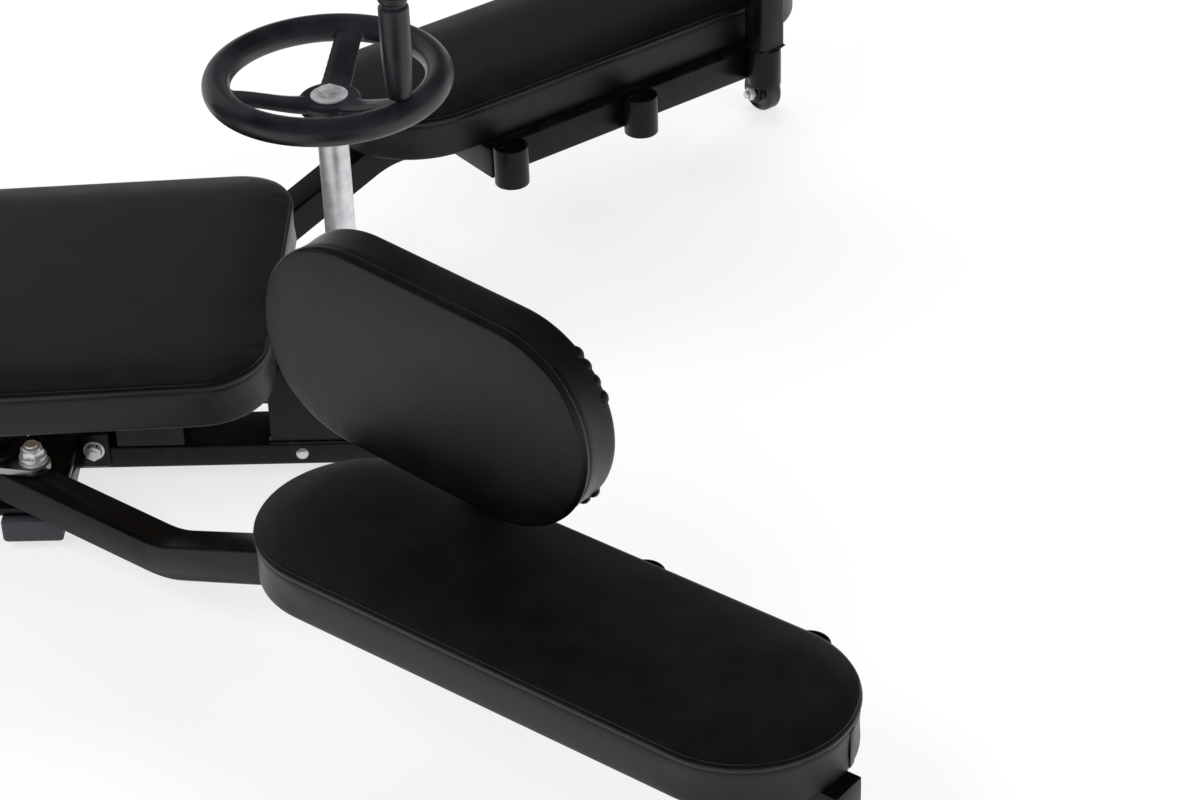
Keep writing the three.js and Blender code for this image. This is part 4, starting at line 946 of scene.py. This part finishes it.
def hub_bolt_shape():
    base = HUB_TOP_Z + FIT_GAP
    shank = rod(5, HUB_TOP_Z - 16, base + 1, 0.5, SMALL_TURN_STEPS)
    plate = rounded([(0, base), (21, base), (21, base + 2.6), (12, base + 3), (0, base + 3)], 0.8)
    crown = rounded([
        (0, base + 6), (9.6, base + 6), (9.2, base + 10), (5, base + 11.4),
        (0, base + 11.4)], 2.5)
    return together(shank, turned(plate), hexagon(22, base + 2.6, base + 9.5, 1.4), turned(crown))


def make_grip():
    """The crank grip and the pin that it turns on."""
    place = WORLD @ shift(
        GRIP_RADIUS_AT * math.cos(GRIP_ANGLE), GRIP_RADIUS_AT * math.sin(GRIP_ANGLE), 0)
    low = WHEEL_Z + RING_TUBE + FIT_GAP
    top = low + GRIP_LENGTH
    collar = low + GRIP_COLLAR
    grip = turned(rounded([
        (0, low), (13.5, low), (14.6, low + 16), (16.6, low + 48), (17, low + 70),
        (16.8, collar - 4), (13.9, collar - 1.5), (13.9, collar + 1.5), (16.8, collar + 4),
        (16.8, top - 5), (13, top), (0, top)], 2.5))
    piece("crank_grip_turned", grip, "crank_grip", "black_plastic", place)
    pin = rod(
        GRIP_PIN_RADIUS, WHEEL_Z - 11.7, WHEEL_Z + RING_TUBE + GRIP_LENGTH - 8, 0.5,
        SMALL_TURN_STEPS)
    piece("grip_pin_turned", pin, "grip_pin", "zinc", place)


def screw_shape():
    """A two-start thread on the screw's core, and the plain journal ahead of it."""
    rear, shoulder = SCREW_REAR_X, SCREW_SHOULDER_X
    core = turned(rounded([
        (0, rear), (8.2, rear), (9.6, rear + 4), (9.2, shoulder), (8, shoulder),
        (8, SCREW_FRONT_X), (0, SCREW_FRONT_X)], 0.8), SMALL_TURN_STEPS)
    threads = []
    turns = int((shoulder - rear - 14) / SCREW_LEAD)
    for start in (0, math.pi):
        thread = bmesh.new()
        points = [thread.verts.new((radius, 0, height)) for radius, height in THREAD_PROFILE]
        edges = [thread.edges.new(pair) for pair in zip(points, points[1:])]
        bmesh.ops.spin(
            thread, geom=points + edges, axis=(0, 0, 1), cent=(0, 0, 0),
            dvec=(0, 0, SCREW_LEAD / THREAD_STEPS), angle=turns * 2 * math.pi,
            steps=turns * THREAD_STEPS, use_merge=False, use_duplicate=False)
        threads.append(at(thread, turn(start, "Z") @ shift(0, 0, rear + 5)))
    return at(together(core, *threads), shift(0, 0, SCREW_Z) @ ALONG_X)


# Weld beads and small fasteners
def bead(points, radius):
    """A weld bead: lumps that overlap along a path."""
    lumps = []
    for start, end in zip(points, points[1:]):
        a, b = Vector(start), Vector(end)
        count = max(1, round((b - a).length / (radius * BEAD_PITCH_SHARE)))
        for k in range(count):
            lump = bmesh.new()
            bmesh.ops.create_icosphere(lump, subdivisions=1, radius=radius)
            lumps.append(at(lump, shift(*a.lerp(b, k / count))))
    return together(*lumps)


def ring_path(radius, height, steps=16):
    angles = [2 * math.pi * k / steps for k in range(steps + 1)]
    return [(radius * math.cos(angle), radius * math.sin(angle), height) for angle in angles]


def square_path(half, height):
    corners = ((1, 1), (-1, 1), (-1, -1), (1, -1), (1, 1))
    return [(half * x, half * y, height) for x, y in corners]


def round_screw(radius, height):
    """A round screw head on the XY plane."""
    return turned(rounded([
        (0, -0.5), (radius, -0.5), (radius, height * 0.35), (radius * 0.6, height * 0.9),
        (0, height)], 1.2), SMALL_TURN_STEPS)


def make_fasteners():
    for side, sign in SIDES.items():
        head = together(
            washer(12.5, 42.9, 1.6), hexagon(18.5, 44, 51.4, 1.1),
            rod(5.2, 50, 52.6, 1, SMALL_TURN_STEPS))
        outwards = turn(-sign * math.pi / 2, "X")
        piece(
            f"bearing_screw_{side}", at(head, shift(BEARING_X, 0, BEAM_TOP_Z) @ outwards),
            "screw_bearing", "zinc", replaces=False)
    nut = together(
        washer(9, 46.1, 1.5), hexagon(13, 47.4, 53.5, 0.8), rod(4, 52, 56, 0.8, SMALL_TURN_STEPS))
    piece("beam_nut", at(nut, shift(*BEAM_NUT_AT)), "main_beam", "zinc", replaces=False)
    screw_place = shift(BEAM_SCREW_X, 0.1 - BEAM_HALF, BEAM_SCREW_Z) @ turn(math.pi / 2, "X")
    piece(
        "beam_screw", at(round_screw(7.5, 4.2), screw_place), "main_beam", "zinc",
        replaces=False)
    lock = together(washer(15, 98, 2), hexagon(22, 100, 108, 1))
    piece(
        "screw_lock_nut", at(lock, shift(0, 0, SCREW_Z) @ ALONG_X @ turn(math.pi, "X")),
        "lead_screw", "zinc", replaces=False)


def make_welds():
    front, rear, half = HOUSING_FRONT_X, HOUSING_REAR_X, BEAM_HALF
    corners = ((front, -half), (rear, -half), (rear, half), (front, half), (front, -half))
    for name, path in (
            ("housing_weld", [(x, y, BEAM_TOP_Z + 1) for x, y in corners]),
            ("column_weld", ring_path(22, HOUSING_TOP_Z + 0.5, 24))):
        piece(
            name, bead(path, LARGE_BEAD), "gear_housing", "paint",
            replaces=False, smooth_below=ALL_SMOOTH)


# Legs: welds, socket rail, castor, upright and bolts
def make_leg_welds(side):
    beads = []
    for step in range(SOCKET_COUNT):
        a = socket_a(step)
        for z in (151, 190.5):
            beads.append(bead([(a - 9, -131.5, z), (a + 9, -131.5, z)], BEAD))
        for off in (-12, 12):
            beads.append(bead([(a + off, -132.5, 151), (a + off, -132.5, 190)], BEAD))
    for a in (RAIL_START_A, RAIL_END_A - RAIL_WIDTH):
        for off in (0, RAIL_WIDTH):
            beads.append(bead([(a + off, -22.5, 150), (a + off, -22.5, 191)], BEAD))
    piece(
        f"{side}_rail_welds", together(*beads), f"{side}_socket_rail", "paint", leg_place(side),
        replaces=False, smooth_below=ALL_SMOOTH)
    foot = together(
        bead(ring_path(19.6, 202.6, 20), FINE_BEAD),
        bead(square_path(18.6, 203.5), SMALL_BEAD))
    piece(
        f"{side}_post_weld", foot, f"{side}_upright_post", "paint", upright_place(side),
        replaces=False, smooth_below=ALL_SMOOTH)


def make_socket_rail(side):
    rail = [block(
        (RAIL_START_A, RAIL_INNER_B, RAIL_BOTTOM_Z),
        (RAIL_END_A, RAIL_INNER_B + RAIL_WIDTH, RAIL_TOP_Z), RAIL_EDGE)]
    for a in (RAIL_START_A, RAIL_END_A - RAIL_WIDTH):
        rail.append(block(
            (a, RAIL_INNER_B + 19, RAIL_BOTTOM_Z), (a + RAIL_WIDTH, ARM_SIDE_B, RAIL_TOP_Z),
            RAIL_EDGE))
    for step in range(SOCKET_COUNT):
        socket = pipe(SOCKET_RADIUS, SOCKET_BORE_RADIUS, SOCKET_BOTTOM_Z, SOCKET_TOP_Z, 1)
        rail.append(at(socket, shift(socket_a(step), SOCKET_B, 0)))
    piece(
        f"{side}_socket_rail_welded", together(*rail), f"{side}_socket_rail", "paint",
        leg_place(side))


def make_castor(side):
    place = leg_place(side) @ shift(CASTOR_A, CASTOR_B, 0)
    on_axle = shift(0, 0, CASTOR_RADIUS) @ ALONG_X
    refined(f"{side}_castor_fork", "paint", 0.8)
    tread = rounded([
        (5.3, -12.5), (13, -12.5), (13.4, -8.5), (21, -8.5), (25, -12.5), (CASTOR_RADIUS, -8),
        (CASTOR_RADIUS, 8), (25, 12.5), (21, 8.5), (13.4, 8.5), (13, 12.5), (5.3, 12.5),
        (5.3, -12.5)], 1.6)
    piece(
        f"{side}_castor_wheel_moulded", at(turned(tread), on_axle),
        f"{side}_castor_wheel", "black_plastic", place)
    axle = together(
        rod(5, -31, 22, 0.8, SMALL_TURN_STEPS), hexagon(17, 18.3, 26, 0.9),
        at(lock_nut(17, 18.3, 9, 5), turn(math.pi, "X")))
    piece(f"{side}_castor_axle_set", at(axle, on_axle), f"{side}_castor_axle", "zinc", place)


def make_leg(side):
    place = leg_place(side)
    make_leg_welds(side)
    refined(f"{side}_leg_arm", "paint", 1.2, 3)
    refined(f"{side}_sector_gear", "steel", 0)
    refined(f"{side}_pad_board", "plywood", 0.6)
    bolt = together(
        rod(8, 57, 130, 0.5, SMALL_TURN_STEPS), hexagon(24, 56.8, 61.6, 1.2),
        washer(16, 113.6, 2.8), washer(13.5, 116.4, 4.4), washer(15.5, 120.8, 2.5),
        lock_nut(24, 123.2, 12, 8))
    piece(
        f"{side}_sector_bolt_set", bolt, f"{side}_sector_bolt", "zinc", place @ shift(54, -9, 0))
    make_socket_rail(side)
    make_castor(side)
    refined(f"{side}_upright_post", "paint", 0.8)


# Base: CAD nodes that only have their edges rounded, by finish and rounding
BASE_PIECES = (
    ("paint", 1.2, ("main_beam", "rear_foot_tube", "hinge_tube_left", "hinge_tube_right")),
    ("paint", 0.8, (
        "hinge_plate_lower", "hinge_plate_upper", "seat_support_front", "seat_support_rear",
        "backrest_bracket", "backrest_spine", "screw_bearing")),
    ("paint", 1.0, ("gear_housing",)),
    ("grey_plastic", 0.8, (
        "beam_front_cap", "hinge_cap_left", "hinge_cap_right", "rear_foot_left",
        "rear_foot_right")),
    ("rubber", 0.8, ("column_foot", "hinge_foot_left", "hinge_foot_right")),
    ("steel", 0, ("rack_carriage", "screw_bevel_gear", "shaft_bevel_gear")),
    ("plywood", 0.6, ("seat_board",)),
    ("zinc", 0.6, ("backrest_pin",)),
    ("black_plastic", 0.6, ("backrest_clamp",)),
)


def make_base():
    for slot, edge, nodes in BASE_PIECES:
        for node in nodes:
            refined(node, slot, edge)
    for side, sign in SIDES.items():
        stud = together(
            rod(10, 56.6, 142, 1, SMALL_TURN_STEPS), washer(19, 122.6, 3),
            lock_nut(30, 125.6, 13, 10))
        piece(
            f"pivot_bolt_{side}_set", stud, f"pivot_bolt_{side}", "paint",
            WORLD @ shift(PIVOT_X, sign * PIVOT_Y, 0))


make_camera()
make_world()
make_floor()
for lamp_values in LAMPS:
    make_lamp(*lamp_values)

make_base()
make_fasteners()
make_welds()
make_drive()
for leg_side in SIDES:
    make_leg(leg_side)
make_pads()
